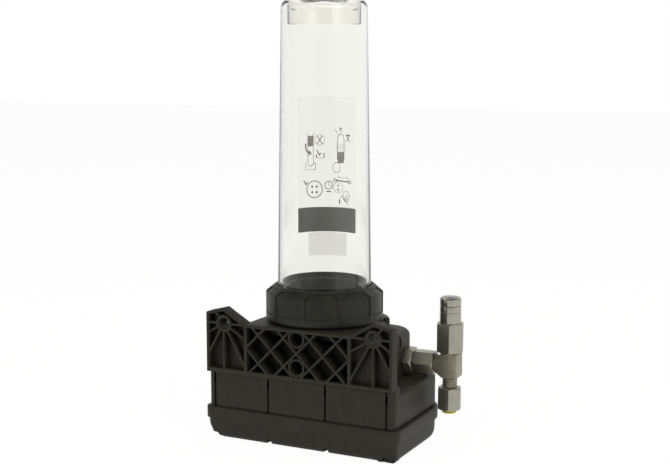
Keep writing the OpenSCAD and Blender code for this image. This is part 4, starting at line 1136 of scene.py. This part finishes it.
@dataclass
class CoverTray:
    """The lower cover with its rim band, notches, foot and screw recesses."""

    half: float = 66.9
    rear: float = 37.7
    front: float = 42.6
    band_half: float = 68.5
    band_rear: float = 38.2
    band_front: float = 44.2
    band_low: float = 12.3
    top: float = 20.3
    rear_edge: float = 3.5
    front_edge: float = 8.0
    end_edge: float = 11.0
    notches: Tuple[float, ...] = (-60.6, -19.0, 21.4, 60.6)
    screws: Tuple[Point2, ...] = ((20.3, 32.0), (-20.3, 32.0), (60.6, 32.0), (-60.6, 32.0),
                                  (20.3, -38.0), (-20.3, -38.0), (52.0, -31.0),
                                  (-52.0, -31.0))

    def outer_rings(self) -> List[Ring]:
        """The outside from the band's top down to the base."""
        rings = []
        for back, z in ((1.0, self.top), (0.5, self.top - 0.12), (0.15, self.top - 0.4),
                        (0.0, self.top - 0.9), (0.0, self.band_low + 0.5),
                        (0.15, self.band_low + 0.15), (0.4, self.band_low)):
            rings.append(plan(self.band_half - back, self.band_rear - back,
                              self.band_front - back, 5.0 - back, 21.0 - back, z))
        rings.append(plan(self.half, self.rear, self.front, 4.6, 20.0, self.band_low - 0.2))
        steps = 12
        for step in range(steps, -1, -1):
            z = self.end_edge * (1 - math.cos(math.pi / 2 * step / steps))
            back = edge_back(z, self.rear_edge)
            end = edge_back(z, self.end_edge)
            front = edge_back(z, self.front_edge)
            rings.append(plan(self.half - (back + end) / 2, self.rear - back,
                              self.front - front, 4.6, 20.0, z, (back - end) / 2))
        return rings

    def inner_rings(self) -> List[Ring]:
        """The inside from the floor up to the top."""
        return [plan(60.7, 34.0, 36.9, 4.0, 16.8, 3.0, -3.0),
                plan(60.7, 34.4, 36.9, 4.0, 16.8, 9.0, -3.0),
                plan(63.7, 34.5, 39.4, 4.0, 16.8, 9.2),
                plan(63.7, 34.5, 39.4, 4.0, 16.8, self.top)]

    def tools(self) -> List[Piece]:
        """The notches of the rear edge and the recesses of the screws."""
        tools = [box("notch_tool", (x - 2.2, self.rear - 5.0, -2.0), (x + 2.2, self.rear + 3, 3.4),
                     0.5) for x in self.notches]
        for x, y in self.screws:
            hole = lathe("screw_tool", [(3.2, -1.0), (3.0, 0.0), (3.0, 4.0), (1.7, 4.0),
                                        (1.7, 25.0)], Caps.BOTH, 48)
            tools.append(move_mesh(hole, shift(x, y, 0)))
        return tools

    def foot(self) -> List[Piece]:
        """The lumpy foot under the outlet side's rear corner."""
        pad = box("foot_pad", (-65.9, 27.7, 0.0), (-58.9, 36.9, 4.6), 1.0, 4)
        lump = lathe("foot_lump", [(2.4, 0.0), (2.9, 0.5), (2.9, 3.0), (2.2, 3.9)], Caps.BOTH,
                     32)
        move_mesh(lump, shift(-56.4, 34.3, 0))
        for part in (pad, lump):
            dress(part, Palette.NITRILE)
        return [pad, lump]

    def build(self) -> Piece:
        """Build, dress and hand over the cover."""
        tray = loft("tray", self.inner_rings() + self.outer_rings())
        bosses = []
        for x, y in self.screws:
            boss = ring_solid("boss", [(1.7, 2.9), (4.6, 2.9), (4.6, 20.0), (1.7, 20.0)], 48)
            bosses.append(move_mesh(boss, shift(x, y, 0)))
        cut_all(tray, self.tools())
        parts = [tray] + self.foot()
        parts += bosses
        for part in parts:
            if not part.data.materials:
                dress(part, Palette.HOUSING_NYLON)
        cover = smooth(join("cover_tray", parts), 32.0)
        return hand_over(cover, "pump", "black_plastic", "lower_cover")


# ---------------------------------------------------------------- collar nut


@dataclass
class CollarNut:
    """The collar nut with ten sunk grip panels that run onto its shoulder."""

    radius: float = 37.8
    bore: float = 34.45
    lip_r: float = 30.7
    land_r: float = 31.6
    low: float = 78.0
    side_z: float = 95.5
    top: float = 100.3
    lip_z: float = 94.0
    panels: int = 10
    bar: float = 2.0
    depth: float = 0.75
    panel_low: float = 83.2
    phase: float = 23.8
    shoulder_share: float = 0.64
    corner_run: float = 3.6

    def body(self) -> Piece:
        """The turned body with rounded edges."""
        profile = round_profile(
            [(self.bore, self.low + 4), (self.bore, self.low), (self.radius, self.low),
             (self.radius, self.side_z), (self.land_r, self.top), (self.lip_r, self.top),
             (self.lip_r, self.lip_z), (self.bore, self.lip_z), (self.bore, self.low + 4.1)],
            [0, 0.4, 1.2, 0.8, 0.5, 0.2, 0.3, 0.3, 0])
        return ring_solid("nut_body", profile, 240)

    def panel_tool(self, middle: float) -> Piece:
        """The tool that sinks one grip panel.

        Args:
            middle: The panel's middle direction in degrees.

        Returns:
            The tool as a solid.
        """
        slope = Vector((self.land_r - self.radius, self.top - self.side_z))
        run = slope.length
        slope.normalize()
        normal = Vector((slope.y, -slope.x))
        corner = Vector((self.radius, self.side_z)) - normal * self.depth
        corner += slope * ((corner.x - (self.radius - self.depth)) / -slope.x)
        bar_angle = math.degrees(math.asin(self.bar / 2 / self.radius))
        half = 180 / self.panels - bar_angle
        corner_angle = math.degrees(self.corner_run / self.radius)
        offsets = [half * s for s in (-1.0, -0.985)]
        inner = [-half + corner_angle * s for s in (0.3, 0.55, 0.8, 1.0)]
        offsets += inner + [0.0] + [-value for value in reversed(inner)] + [half * 0.985, half]
        rings: List[Ring] = []
        for offset in offsets:
            share = min(1.0, (half - abs(offset)) / corner_angle)
            reach = run * self.shoulder_share * (0.18 + 0.82 * share ** 0.8)
            low = self.panel_low + 0.8 * max(0.0, 1 - (half - abs(offset)) / 1.2) ** 2
            top = corner + slope * reach
            out = top + normal * (self.depth * 4)
            section = [(self.radius - self.depth, low),
                       (self.radius - self.depth, corner.y), (top.x, top.y),
                       (out.x, out.y), (self.radius + 4, out.y), (self.radius + 4, low)]
            angle = math.radians(middle + offset)
            rings.append([(r * math.cos(angle), r * math.sin(angle), z)
                          for r, z in section])
        fine: List[Ring] = [rings[0]]
        for before, after in zip(rings, rings[1:]):
            angle_a = math.atan2(before[0][1], before[0][0])
            angle_b = math.atan2(after[0][1], after[0][0])
            turn = (angle_b - angle_a + math.pi) % (2 * math.pi) - math.pi
            steps = max(1, round(abs(math.degrees(turn)) / 1.5))
            for step in range(1, steps + 1):
                share = step / steps
                angle = angle_a + turn * share
                ring = []
                for a, b in zip(before, after):
                    radius = math.hypot(a[0], a[1]) * (1 - share) + math.hypot(b[0], b[1]) * share
                    ring.append((radius * math.cos(angle), radius * math.sin(angle),
                                 a[2] * (1 - share) + b[2] * share))
                fine.append(ring)
        return loft("panel_tool", fine)

    def build(self) -> Piece:
        """Build, dress and hand over the nut."""
        nut = self.body()
        step = 360 / self.panels
        for index in range(self.panels):
            boolean(nut, self.panel_tool(self.phase + (index + 0.5) * step))
        soften(nut, 0.25, 2, 40.0)
        nut.name = "collar_nut_moulding"
        smooth(nut, 28.0)
        dress(nut, Palette.NUT_NYLON)
        return hand_over(nut, "collar", "nut_plastic", "collar_nut")


# ---------------------------------------------------------------- reservoir


@dataclass
class Reservoir:
    """The clear tube with its label film, print and date sticker."""

    radius: float = 30.2
    top_radius: float = 27.2
    wall: float = 2.0
    top: float = 281.0
    foot: float = 79.7
    ring_z: float = 89.7
    flange_low: float = 90.9
    flange_high: float = 93.7
    flange_r: float = 34.1
    shoulder: float = 6.0
    cup_r: float = 23.2
    cup_low: float = 264.2
    film_low: float = 127.8
    film_high: float = 217.3
    film_width: float = 44.9
    film_turn: float = -67.6
    film_t: float = 0.12
    sticker_low: float = 111.9
    sticker_high: float = 127.5
    sticker_width: float = 28.0
    marks: List[Piece] = field(default_factory=list)
    pale_marks: List[Piece] = field(default_factory=list)

    def radius_at(self, z: float) -> float:
        """The tube's outer radius at a height."""
        share = (z - self.flange_high) / (self.top - self.shoulder - self.flange_high)
        return self.radius + (self.top_radius - self.radius) * share

    def tube(self) -> Piece:
        """The tube with its closed top and the guide ring under it."""
        inner_top = self.top_radius - self.wall
        outer = round_profile(
            [(0.4, self.top), (self.top_radius, self.top), (self.radius, self.flange_high),
             (self.flange_r, self.flange_high), (self.flange_r, self.flange_low),
             (self.radius, self.flange_low), (self.radius, self.foot),
             (self.radius - self.wall, self.foot), (self.radius - self.wall, self.ring_z),
             (inner_top, self.top - 2 * self.wall), (self.cup_r, self.top - self.wall),
             (self.cup_r, self.cup_low),
             (self.cup_r - self.wall, self.cup_low), (self.cup_r - self.wall, 274.3),
             (self.cup_r - 1.4 * self.wall, 275.2),
             (self.cup_r - 1.4 * self.wall, self.top - self.wall),
             (0.4, self.top - self.wall)],
            [0, self.shoulder, 0.6, 0.4, 0.4, 0.3, 0.4, 0.4, 0, 0, 0.3, 0.5, 0.5, 0.3, 0.3,
             0.4, 0], 5)
        tube = lathe("reservoir_tube_clear", outer, Caps.BOTH, 192)
        smooth(tube, 40.0)
        dress(tube, ClearPolymer())
        return hand_over(tube, "pump", "clear_plastic", "reservoir_tube")

    def wrap(self, obj: Piece, lift: float, low: float) -> Piece:
        """Wrap a flat piece, drawn in X and Y, round the tube.

        Args:
            obj: The flat piece, whose thickness lies in Z.
            lift: The gap to the tube's surface.
            low: The height of the flat piece's Y origin.

        Returns:
            The same piece.
        """
        for vertex in obj.data.vertices:
            u, v, t = vertex.co / MM
            z = low + v
            radius = self.radius_at(z)
            angle = math.radians(self.film_turn) + u / radius
            reach = radius + lift + t
            vertex.co = Vector((reach * math.cos(angle), reach * math.sin(angle), z)) * MM
        obj.data.update()
        return obj

    def patch(self, name: str, width: float, height: float, thickness: float,
              corner: float) -> Piece:
        """A flat film with rounded corners, cut fine enough to wrap."""
        columns = max(4, round(width / 1.2))
        rings: List[Ring] = []
        for column in range(columns + 1):
            u = -width / 2 + width * column / columns
            near = max(0.0, corner - (width / 2 - abs(u)))
            cut = corner - math.sqrt(max(0.0, corner ** 2 - near ** 2))
            rings.append([(u, cut, 0.0), (u, height - cut, 0.0),
                          (u, height - cut, thickness), (u, cut, thickness)])
        return loft(name, rings)

    def stroke(self, points: Sequence[Point2], width: float = 0.45,
               pale: bool = False) -> None:
        """Print one line through several points of the label."""
        line = [Vector(p) for p in points]
        dense = [line[0]]
        for a, b in zip(line, line[1:]):
            steps = max(1, math.ceil((b - a).length / 1.5))
            dense += [a.lerp(b, (i + 1) / steps) for i in range(steps)]
        rings: List[Ring] = []
        for index, point in enumerate(dense):
            before = dense[max(index - 1, 0)]
            after = dense[min(index + 1, len(dense) - 1)]
            along = (after - before).normalized()
            side = Vector((-along.y, along.x)) * width / 2
            a, b = point + side, point - side
            rings.append([(a.x, a.y, 0.0), (b.x, b.y, 0.0), (b.x, b.y, 0.03),
                          (a.x, a.y, 0.03)])
        mark = loft("print_line", rings)
        (self.pale_marks if pale else self.marks).append(mark)

    def loop(self, centre: Point2, radius: float, width: float = 0.45,
             squash: float = 1.0, pale: bool = False) -> None:
        """Print one circle or oval."""
        profile = [(radius - width, 0.0), (radius, 0.0), (radius, 0.03),
                   (radius - width, 0.03)]
        mark = ring_solid("print_ring", profile, 40)
        move_mesh(mark, shift(centre[0], centre[1], 0) @ Matrix.Diagonal((1, squash, 1, 1)))
        (self.pale_marks if pale else self.marks).append(mark)

    def dot(self, centre: Point2, radius: float) -> None:
        """Print one dot."""
        mark = lathe("print_dot", [(radius, 0.0), (radius, 0.03)], Caps.BOTH, 24)
        self.marks.append(move_mesh(mark, shift(centre[0], centre[1], 0)))

    def fill(self, low: Point2, high: Point2, pale: bool = False) -> None:
        """Print one filled rectangle."""
        middle = (low[1] + high[1]) / 2
        self.stroke([(low[0], middle), (high[0], middle)], high[1] - low[1], pale)

    def draw_pictograms(self) -> None:
        """Print generic steps: a cartridge, arrows, ticks, a clock and a bolt spacing.

        Heights count from the film's lower edge. The left of the drawing is the
        camera's right, because the camera sees the print from behind.
        """
        # Cartridge that is pushed in, with a curved arrow
        self.fill((10.0, 57.0), (14.2, 64.0), True)
        self.stroke([(10.0, 46.0), (10.0, 66.0)], 0.3)
        self.stroke([(14.2, 46.0), (14.2, 66.0)], 0.3)
        self.stroke([(15.8, 59.0), (15.6, 55.5), (14.2, 53.2), (12.4, 52.4)], 0.9)
        self.stroke([(13.6, 54.2), (11.4, 52.2), (13.8, 51.2)], 0.7)
        self.stroke([(8.6, 41.6), (15.8, 41.6), (15.8, 46.4)], 0.3)
        self.stroke([(8.6, 41.6), (8.6, 46.4), (10.6, 45.0), (12.4, 43.4), (14.0, 45.6)], 0.4)
        # Cross and tick panels
        self.stroke([(7.4, 64.2), (3.6, 58.4)], 0.5)
        self.stroke([(3.6, 64.2), (7.4, 58.4)], 0.5)
        self.loop((5.5, 61.2), 3.5, 0.25, pale=True)
        self.stroke([(7.6, 54.4), (5.6, 51.0), (4.8, 52.6)], 0.7)
        self.stroke([(7.8, 49.4), (7.8, 51.6)], 0.7)
        self.stroke([(2.6, 49.4), (2.6, 52.6)], 0.7)
        self.stroke([(2.6, 49.2), (7.8, 49.2)], 0.3, True)
        # Cartridge with its cap, which is turned off
        self.stroke([(-11.8, 48.0), (-11.8, 62.0), (-10.6, 65.0), (-8.0, 65.0),
                     (-6.8, 62.0), (-6.8, 48.0)], 0.4)
        self.fill((-11.6, 46.0), (-7.0, 53.5), True)
        self.fill((-11.6, 46.0), (-7.0, 47.2))
        self.stroke([(-9.3, 47.4), (-9.3, 50.4)], 0.9)
        for height in (54.8, 56.4, 58.0):
            self.stroke([(-12.8, height), (-5.8, height)], 0.25, True)
        self.stroke([(-9.3, 66.0), (-9.3, 69.4)], 0.5)
        self.stroke([(-10.4, 68.0), (-9.3, 69.6), (-8.2, 68.0)], 0.4)
        self.stroke([(-6.6, 65.6), (-5.2, 68.2)], 0.4)
        self.stroke([(-16.8, 64.6), (-13.2, 64.6)], 0.8)
        self.stroke([(-16.6, 60.2), (-13.6, 64.4)], 0.5)
        self.stroke([(-13.4, 60.2), (-16.4, 64.4)], 0.5)
        self.loop((-6.2, 43.0), 2.8, 0.3, 1.3)
        # Round cover with four screws, a tick and a clock
        self.loop((9.4, 28.5), 5.9, 0.45)
        self.loop((9.4, 28.5), 5.2, 0.15, pale=True)
        for x, y in ((7.8, 30.3), (11.0, 30.3), (7.8, 26.6), (11.0, 26.6)):
            self.dot((x, y), 0.75)
        self.stroke([(17.4, 34.6), (15.6, 31.6), (14.6, 33.6)], 0.8)
        self.loop((-0.6, 31.2), 2.9, 0.5)
        self.stroke([(-0.6, 33.0), (-0.6, 31.2), (-1.9, 30.4)], 0.4)
        self.stroke([(-2.2, 27.0), (1.0, 27.0)], 0.7)
        # Two bolts with their spacing, and a tool at a nut
        self.stroke([(-5.6, 34.4), (-16.0, 33.8)], 0.8)
        self.loop((-5.2, 34.4), 1.3, 0.5)
        self.loop((-16.4, 33.8), 1.3, 0.5)
        self.stroke([(-7.6, 36.6), (-14.6, 36.2)], 0.25)
        self.stroke([(-7.6, 35.8), (-7.6, 37.6)], 0.25)
        self.stroke([(-14.6, 35.4), (-14.6, 37.2)], 0.25)
        self.loop((-7.4, 29.6), 3.6, 0.3, 1.0, True)
        self.dot((-7.4, 31.0), 0.6)
        self.loop((-7.4, 28.2), 1.0, 0.35)
        self.stroke([(-8.6, 23.0), (-10.6, 24.4), (-13.4, 20.4), (-15.2, 18.6)], 0.4)
        self.loop((-13.6, 24.0), 2.9, 0.3, 1.25)
        self.stroke([(-12.0, 22.6), (-15.0, 25.2)], 0.4)
        self.stroke([(-12.4, 21.2), (-15.6, 23.4)], 0.4)
        self.stroke([(-8.4, 19.0), (-8.4, 22.0)], 0.9)

    def build(self) -> List[Piece]:
        """Build, dress and hand over the tube and all that is stuck on it."""
        pieces = [self.tube()]
        film = self.patch("label_film", self.film_width, self.film_high - self.film_low,
                          self.film_t, 0.8)
        smooth(self.wrap(film, 0.03, self.film_low), 20.0)
        dress(film, Palette.LABEL_FILM)
        pieces.append(hand_over(film, "pump", "label_film", "instruction_label"))
        band = self.patch("label_band", self.film_width - 0.3, 16.4, 0.03, 0.2)
        self.wrap(band, 0.03 + self.film_t + 0.01, self.film_low + 0.2)
        self.draw_pictograms()
        ink = join("label_print", self.marks)
        self.wrap(ink, 0.03 + self.film_t + 0.01, self.film_low)
        ink = smooth(join("label_print", [ink, band]), 20.0)
        dress(ink, Palette.DARK_INK)
        pieces.append(hand_over(ink, "pump", "label_film"))
        pale = join("label_print_pale", self.pale_marks)
        smooth(self.wrap(pale, 0.03 + self.film_t + 0.01, self.film_low), 20.0)
        dress(pale, Palette.PALE_INK)
        pieces.append(hand_over(pale, "pump", "label_film"))
        sticker = self.patch("date_sticker_paper", self.sticker_width,
                             self.sticker_high - self.sticker_low, self.film_t, 0.5)
        smooth(self.wrap(sticker, 0.03, self.sticker_low), 20.0)
        dress(sticker, Palette.STICKER_PAPER)
        pieces.append(hand_over(sticker, "pump", "sticker_paper", "date_sticker"))
        return pieces


# ---------------------------------------------------------------- fittings


@dataclass
class OutletFittings:
    """The pump element's hexagon, the union, the tee, the relief valve and the outlet nut."""

    axis_y: float = -20.7
    axis_z: float = 50.5
    tee_x: float = -79.0
    tee_arm_x: float = 69.7
    tee_half: float = 8.1
    tee_end: float = 6.5
    tee_chamfer: float = 5.4
    tee_t: float = 10.6
    edge: float = 0.22

    def outwards(self) -> Matrix:
        """Turns a piece on +Z onto the outlet's axis, which points to -X."""
        return shift(0, self.axis_y, self.axis_z) @ Matrix.Rotation(-math.pi / 2, 4, "Y")

    def upwards(self) -> Matrix:
        """Moves a piece on +Z onto the tee's upright axis."""
        return shift(self.tee_x, self.axis_y, 0)

    def hexagon(self, name: str, flats: float, low: float, high: float, low_cut: float,
                high_cut: float, turn: float, bore: float) -> Piece:
        """A hexagon bar whose ends are turned to a cone.

        Args:
            name: The new object's name.
            flats: The width across flats.
            low: Where it starts on its axis.
            high: Where it ends.
            low_cut: How far the cone takes the corners back at the start.
            high_cut: How far the cone takes the corners back at the end.
            turn: The angle of its first corner in degrees.
            bore: The radius of its bore, or 0.

        Returns:
            The new object.
        """
        corner = flats / 2 / math.cos(math.pi / 6)
        clear_selection()
        bpy.ops.mesh.primitive_cylinder_add(vertices=6, radius=corner * MM,
                                            depth=(high - low) * MM)
        bar = bpy.context.object
        move_mesh(bar, shift(0, 0, (low + high) / 2)
                  @ Matrix.Rotation(math.radians(turn - 90), 4, "Z"))
        cone = lathe("cone_tool", [(corner - low_cut, low - 0.01),
                                   (corner + 0.02, low + low_cut * 0.58),
                                   (corner + 0.02, high - high_cut * 0.58),
                                   (corner - high_cut, high + 0.01)], Caps.BOTH, 144)
        boolean(bar, cone, "INTERSECT")
        if bore > 0:
            boolean(bar, rod("bore_tool", bore, low - 2, high + 2, 0.0))
        bar.name = name
        return soften(bar, self.edge, 2, 24.0)

    def thread(self, radius: float, pitch: float, low: float, turns: int) -> Piece:
        """An outer thread on the Z axis."""
        depth = pitch * 0.5
        return helix("outer_thread", [(radius - depth - 0.2, 0.0),
                                      (radius - depth - 0.2, pitch * 0.9),
                                      (radius, pitch * 0.55), (radius, pitch * 0.35)],
                     pitch, turns, low)

    def pump_element(self) -> Piece:
        """The element that is screwed into the housing, with its hexagon outside."""
        hexagon = self.hexagon("element_hexagon", 16.0, 49.5, 55.3, 0.3, 2.2, 90.0, 3.0)
        barrel = ring_solid("element_barrel", [(3.05, 30.0), (6.8, 30.0), (7.0, 30.2),
                                               (7.0, 50.5), (5.4, 50.5), (5.4, 63.3),
                                               (5.2, 63.6), (3.05, 63.6)], SMALL_ROUND)
        piece = join("pump_element_steel", [hexagon, barrel])
        smooth(move_mesh(piece, self.outwards()), 28.0)
        dress(piece, Palette.STEEL_X)
        return hand_over(piece, "pump", "fitting_steel", "pump_element")

    def union_nut(self) -> Piece:
        """The union nut between the element and the tee, with a collar to the tee."""
        nut = self.hexagon("union_hexagon", 14.0, 55.6, 69.3, 1.2, 1.2, 90.0, 5.5)
        inner = ring_solid("union_cone", [(5.0, 66.9), (5.6, 66.9), (5.6, 69.0), (5.0, 69.0)],
                           SMALL_ROUND)
        piece = join("union_nut_steel", [nut, inner])
        smooth(move_mesh(piece, self.outwards()), 28.0)
        dress(piece, Palette.STEEL_X)
        return hand_over(piece, "pump", "zinc_steel", "union_nut")

    def tee_ring(self, inset: float, y: float) -> Ring:
        """The tee's outline in X and Z at one depth."""
        left = self.tee_arm_x + inset
        right = -self.tee_x + self.tee_end - inset
        half = self.tee_half - inset
        mild = 3.9 - inset * 0.4
        chamfer = self.tee_chamfer
        corners = [(left, -mild), (left, mild), (left + chamfer, half), (right - 1.0, half),
                   (right, half - 1.0), (right, -half + 1.0), (right - 1.0, -half),
                   (left + chamfer, -half)]
        return [(-x, y, self.axis_z + z) for x, z in corners]

    def tee(self) -> Piece:
        """The forged tee with its necks and the thread under it."""
        half = self.tee_t / 2
        edge = 0.5
        body = loft("tee_block", [self.tee_ring(edge, self.axis_y - half),
                                  self.tee_ring(edge * 0.3, self.axis_y - half + edge * 0.3),
                                  self.tee_ring(0.0, self.axis_y - half + edge),
                                  self.tee_ring(0.0, self.axis_y + half - edge),
                                  self.tee_ring(edge * 0.3, self.axis_y + half - edge * 0.3),
                                  self.tee_ring(edge, self.axis_y + half)])
        soften(body, 0.25, 2, 30.0)
        side = ring_solid("tee_side_neck", [(2.0, 63.9), (4.6, 63.9), (4.9, 64.2),
                                            (4.9, 72.0), (2.0, 72.0)], SMALL_ROUND)
        move_mesh(side, self.outwards())
        low = self.axis_z - self.tee_half
        neck = ring_solid("tee_lower_neck", [(2.0, low - 9.0), (3.9, low - 9.0),
                                             (4.15, low - 8.7), (4.15, low - 0.8),
                                             (4.9, low - 0.2), (4.9, low + 1.0),
                                             (2.0, low + 1.0)], SMALL_ROUND)
        thread = self.thread(4.85, 1.5, low - 8.6, 5)
        collar = ring_solid("tee_top_ring", [(4.7, 58.0), (6.2, 58.0), (6.2, 58.75),
                                             (4.7, 58.75)], SMALL_ROUND)
        for part in (neck, thread, collar):
            move_mesh(part, self.upwards())
        piece = smooth(join("tee_forging", [body, side, neck, thread, collar]), 28.0)
        dress(piece, Palette.STEEL_BLASTED)
        return hand_over(piece, "pump", "fitting_steel", "tee_body")

    def relief_valve(self) -> List[Piece]:
        """The relief valve's hexagon, its turned end and its cap."""
        hexagon = self.hexagon("valve_hexagon", 16.0, 59.0, 77.7, 1.3, 0.9, 46.0, 3.6)
        neck = ring_solid("valve_neck", [(1.2, 52.9), (4.4, 52.9), (4.6, 53.2), (4.6, 59.4),
                                         (1.2, 59.4)], SMALL_ROUND)
        round_end = ring_solid("valve_round", round_profile(
            [(3.6, 60.5), (6.8, 60.5), (6.8, 84.6), (6.65, 84.75), (6.65, 84.95),
             (6.8, 85.1), (6.8, 88.7), (6.1, 88.9), (6.1, 89.35), (3.6, 89.35), (3.6, 70.0)],
            [0, 0, 0, 0, 0, 0, 0.15, 0, 0, 0, 0]), 96)
        for part in (hexagon, neck, round_end):
            move_mesh(part, self.upwards())
        body = smooth(join("relief_valve_hexagon", [hexagon, neck]), 28.0)
        dress(body, Palette.STEEL_Z)
        hand_over(body, "pump", "fitting_steel", "relief_valve_body")
        turned = smooth(round_end, 28.0)
        turned.name = "relief_valve_turned_end"
        dress(turned, Palette.STEEL_TURNED)
        hand_over(turned, "pump", "fitting_steel", "relief_valve_body")
        cap = lathe("relief_valve_cap_steel", round_profile(
            [(3.5, 86.6), (3.5, 89.45), (6.8, 89.45), (6.8, 93.4), (5.9, 94.4), (4.3, 94.5),
             (3.9, 94.1), (3.6, 94.2), (3.4, 94.95), (0.3, 95.0)],
            [0, 0, 0.25, 0.5, 0.3, 0.15, 0, 0, 0.15, 0]), Caps.BOTH, 96)
        move_mesh(cap, self.upwards())
        smooth(cap, 28.0)
        dress(cap, Palette.STEEL_TURNED)
        return [body, turned, hand_over(cap, "pump", "zinc_steel", "relief_valve_cap")]

    def outlet_nut(self) -> Piece:
        """The outlet nut under the tee."""
        nut = self.hexagon("outlet_nut_steel", 14.0, 21.7, 36.0, 1.1, 1.3, 46.0, 5.0)
        seat = ring_solid("nut_seat", [(3.1, 21.9), (5.2, 21.9), (5.2, 32.8), (3.1, 32.8)],
                          SMALL_ROUND)
        piece = join("outlet_nut_steel", [nut, seat])
        smooth(move_mesh(piece, self.upwards()), 28.0)
        dress(piece, Palette.STEEL_Z)
        return hand_over(piece, "pump", "zinc_steel", "outlet_nut")

    def dust_plug(self) -> Piece:
        """The yellow plug in the outlet nut."""
        plug = lathe("dust_plug_moulding", round_profile(
            [(2.2, 19.6), (3.2, 19.3), (4.6, 19.3), (4.6, 21.6), (3.05, 21.65), (3.05, 31.0),
             (2.4, 32.5), (0.3, 32.5)], [0, 0.2, 0.7, 0.3, 0, 0.3, 0.4, 0]), Caps.BOTH, 72)
        move_mesh(plug, self.upwards())
        smooth(plug, 32.0)
        dress(plug, Palette.YELLOW_POLYETHYLENE)
        return hand_over(plug, "plug", "yellow_plastic", "dust_plug")

    def build(self) -> None:
        """Build every fitting."""
        self.pump_element()
        self.union_nut()
        self.tee()
        self.relief_valve()
        self.outlet_nut()
        self.dust_plug()


# ---------------------------------------------------------------- connector


@dataclass
class Connector:
    """The round plug socket on the side away from the outlet."""

    side_x: float = 49.0
    axis_y: float = 4.0
    axis_z: float = 55.5

    def build(self) -> Piece:
        """Build, dress and hand over the socket."""
        body = ring_solid("socket_body", round_profile(
            [(7.0, 10.0), (7.0, 3.7), (6.9, 3.7), (6.9, 3.6), (1.0, 3.6), (1.0, -5.0),
             (9.0, -5.0), (9.0, 1.2), (12.0, 1.2), (12.0, 3.7), (9.0, 3.7), (9.0, 16.0),
             (7.0, 16.0)],
            [0, 0, 0, 0, 0, 0, 0, 0, 0.5, 0.5, 0.4, 0.5, 0.5]), 96)
        parts = [body]
        for angle in (0.0, math.pi):
            lug = rod("bayonet_lug", 1.4, 8.4, 10.2, 0.25, 32)
            matrix = Matrix.Rotation(angle, 4, "Z") @ shift(0, 0, 13.4)
            parts.append(move_mesh(lug, matrix @ Matrix.Rotation(math.pi / 2, 4, "Y")))
        for index in range(24):
            angle = 2 * math.pi * index / 24
            knurl = box("flange_grip", (11.4, -0.45, 1.5), (12.0, 0.45, 3.4), 0.15)
            parts.append(move_mesh(knurl, Matrix.Rotation(angle, 4, "Z")))
        piece = join("connector_socket_moulding", parts)
        move_mesh(piece, shift(self.side_x, self.axis_y, self.axis_z)
                  @ Matrix.Rotation(math.pi / 2, 4, "Y"))
        smooth(piece, 30.0)
        dress(piece, Palette.CONNECTOR_NYLON)
        return hand_over(piece, "pump", "dark_plastic", "connector_socket")


# ---------------------------------------------------------------- hidden works


@dataclass
class HiddenWorks:
    """The CAD solids that stay: seals, screws, the drive and the board."""

    finishes: Dict[str, Finish] = field(default_factory=lambda: {
        "housing_carriers": Palette.HOUSING_NYLON,
        "cover_gasket": Palette.NITRILE, "tube_seal": Palette.NITRILE,
        "shaft_seal": Palette.NITRILE, "connector_seal": Palette.NITRILE,
        "cover_screws": Palette.ZINC_SCREW, "motor_screws": Palette.ZINC_SCREW,
        "bearing_plate_screws": Palette.ZINC_SCREW, "board_screws": Palette.ZINC_SCREW,
        "motor_can": Palette.ZINC_SCREW, "motor_magnets": Palette.FERRITE,
        "motor_rotor": Palette.LAMINATED_STEEL, "motor_shaft": Palette.HARDENED_STEEL,
        "motor_end_cap": Palette.CONNECTOR_NYLON, "motor_terminals": Palette.BRASS,
        "worm": Palette.HARDENED_STEEL, "worm_bush": Palette.BRONZE,
        "worm_wheel": Palette.ACETAL, "drive_shaft": Palette.HARDENED_STEEL,
        "upper_bush": Palette.BRONZE, "lower_bush": Palette.BRONZE,
        "bearing_plate": Palette.ZINC_SCREW, "eccentric_cam": Palette.HARDENED_STEEL,
        "cam_ring": Palette.BRONZE, "element_washer": Palette.ZINC_SCREW,
        "pump_piston": Palette.HARDENED_STEEL, "piston_spring": Palette.SPRING_WIRE,
        "check_ball": Palette.HARDENED_STEEL, "check_spring": Palette.SPRING_WIRE,
        "check_plug": Palette.STEEL_X, "relief_ball": Palette.HARDENED_STEEL,
        "relief_spring": Palette.SPRING_WIRE, "connector_pins": Palette.BRASS,
        "circuit_board": Palette.LAMINATE, "board_capacitor": Palette.SLEEVE,
        "board_relay": Palette.CHIP_RESIN, "board_chip": Palette.CHIP_RESIN})

    def build(self) -> None:
        """Dress each CAD solid that stays."""
        for name, finish in self.finishes.items():
            dress(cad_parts[name], finish)
            LOG.info("%s: dressed as %s", name, finish.name)


def main() -> None:
    """Build the studio and every piece of the pump."""
    logging.basicConfig(level=logging.INFO, format="%(message)s")
    Studio().build()
    builders: Sequence[Callable[[], object]] = (
        HousingMoulding().build, CoverTray().build, CollarNut().build, Reservoir().build,
        OutletFittings().build, Connector().build, HiddenWorks().build)
    for builder in builders:
        builder()
    clear_selection()


if __name__ == "__main__":
    main()
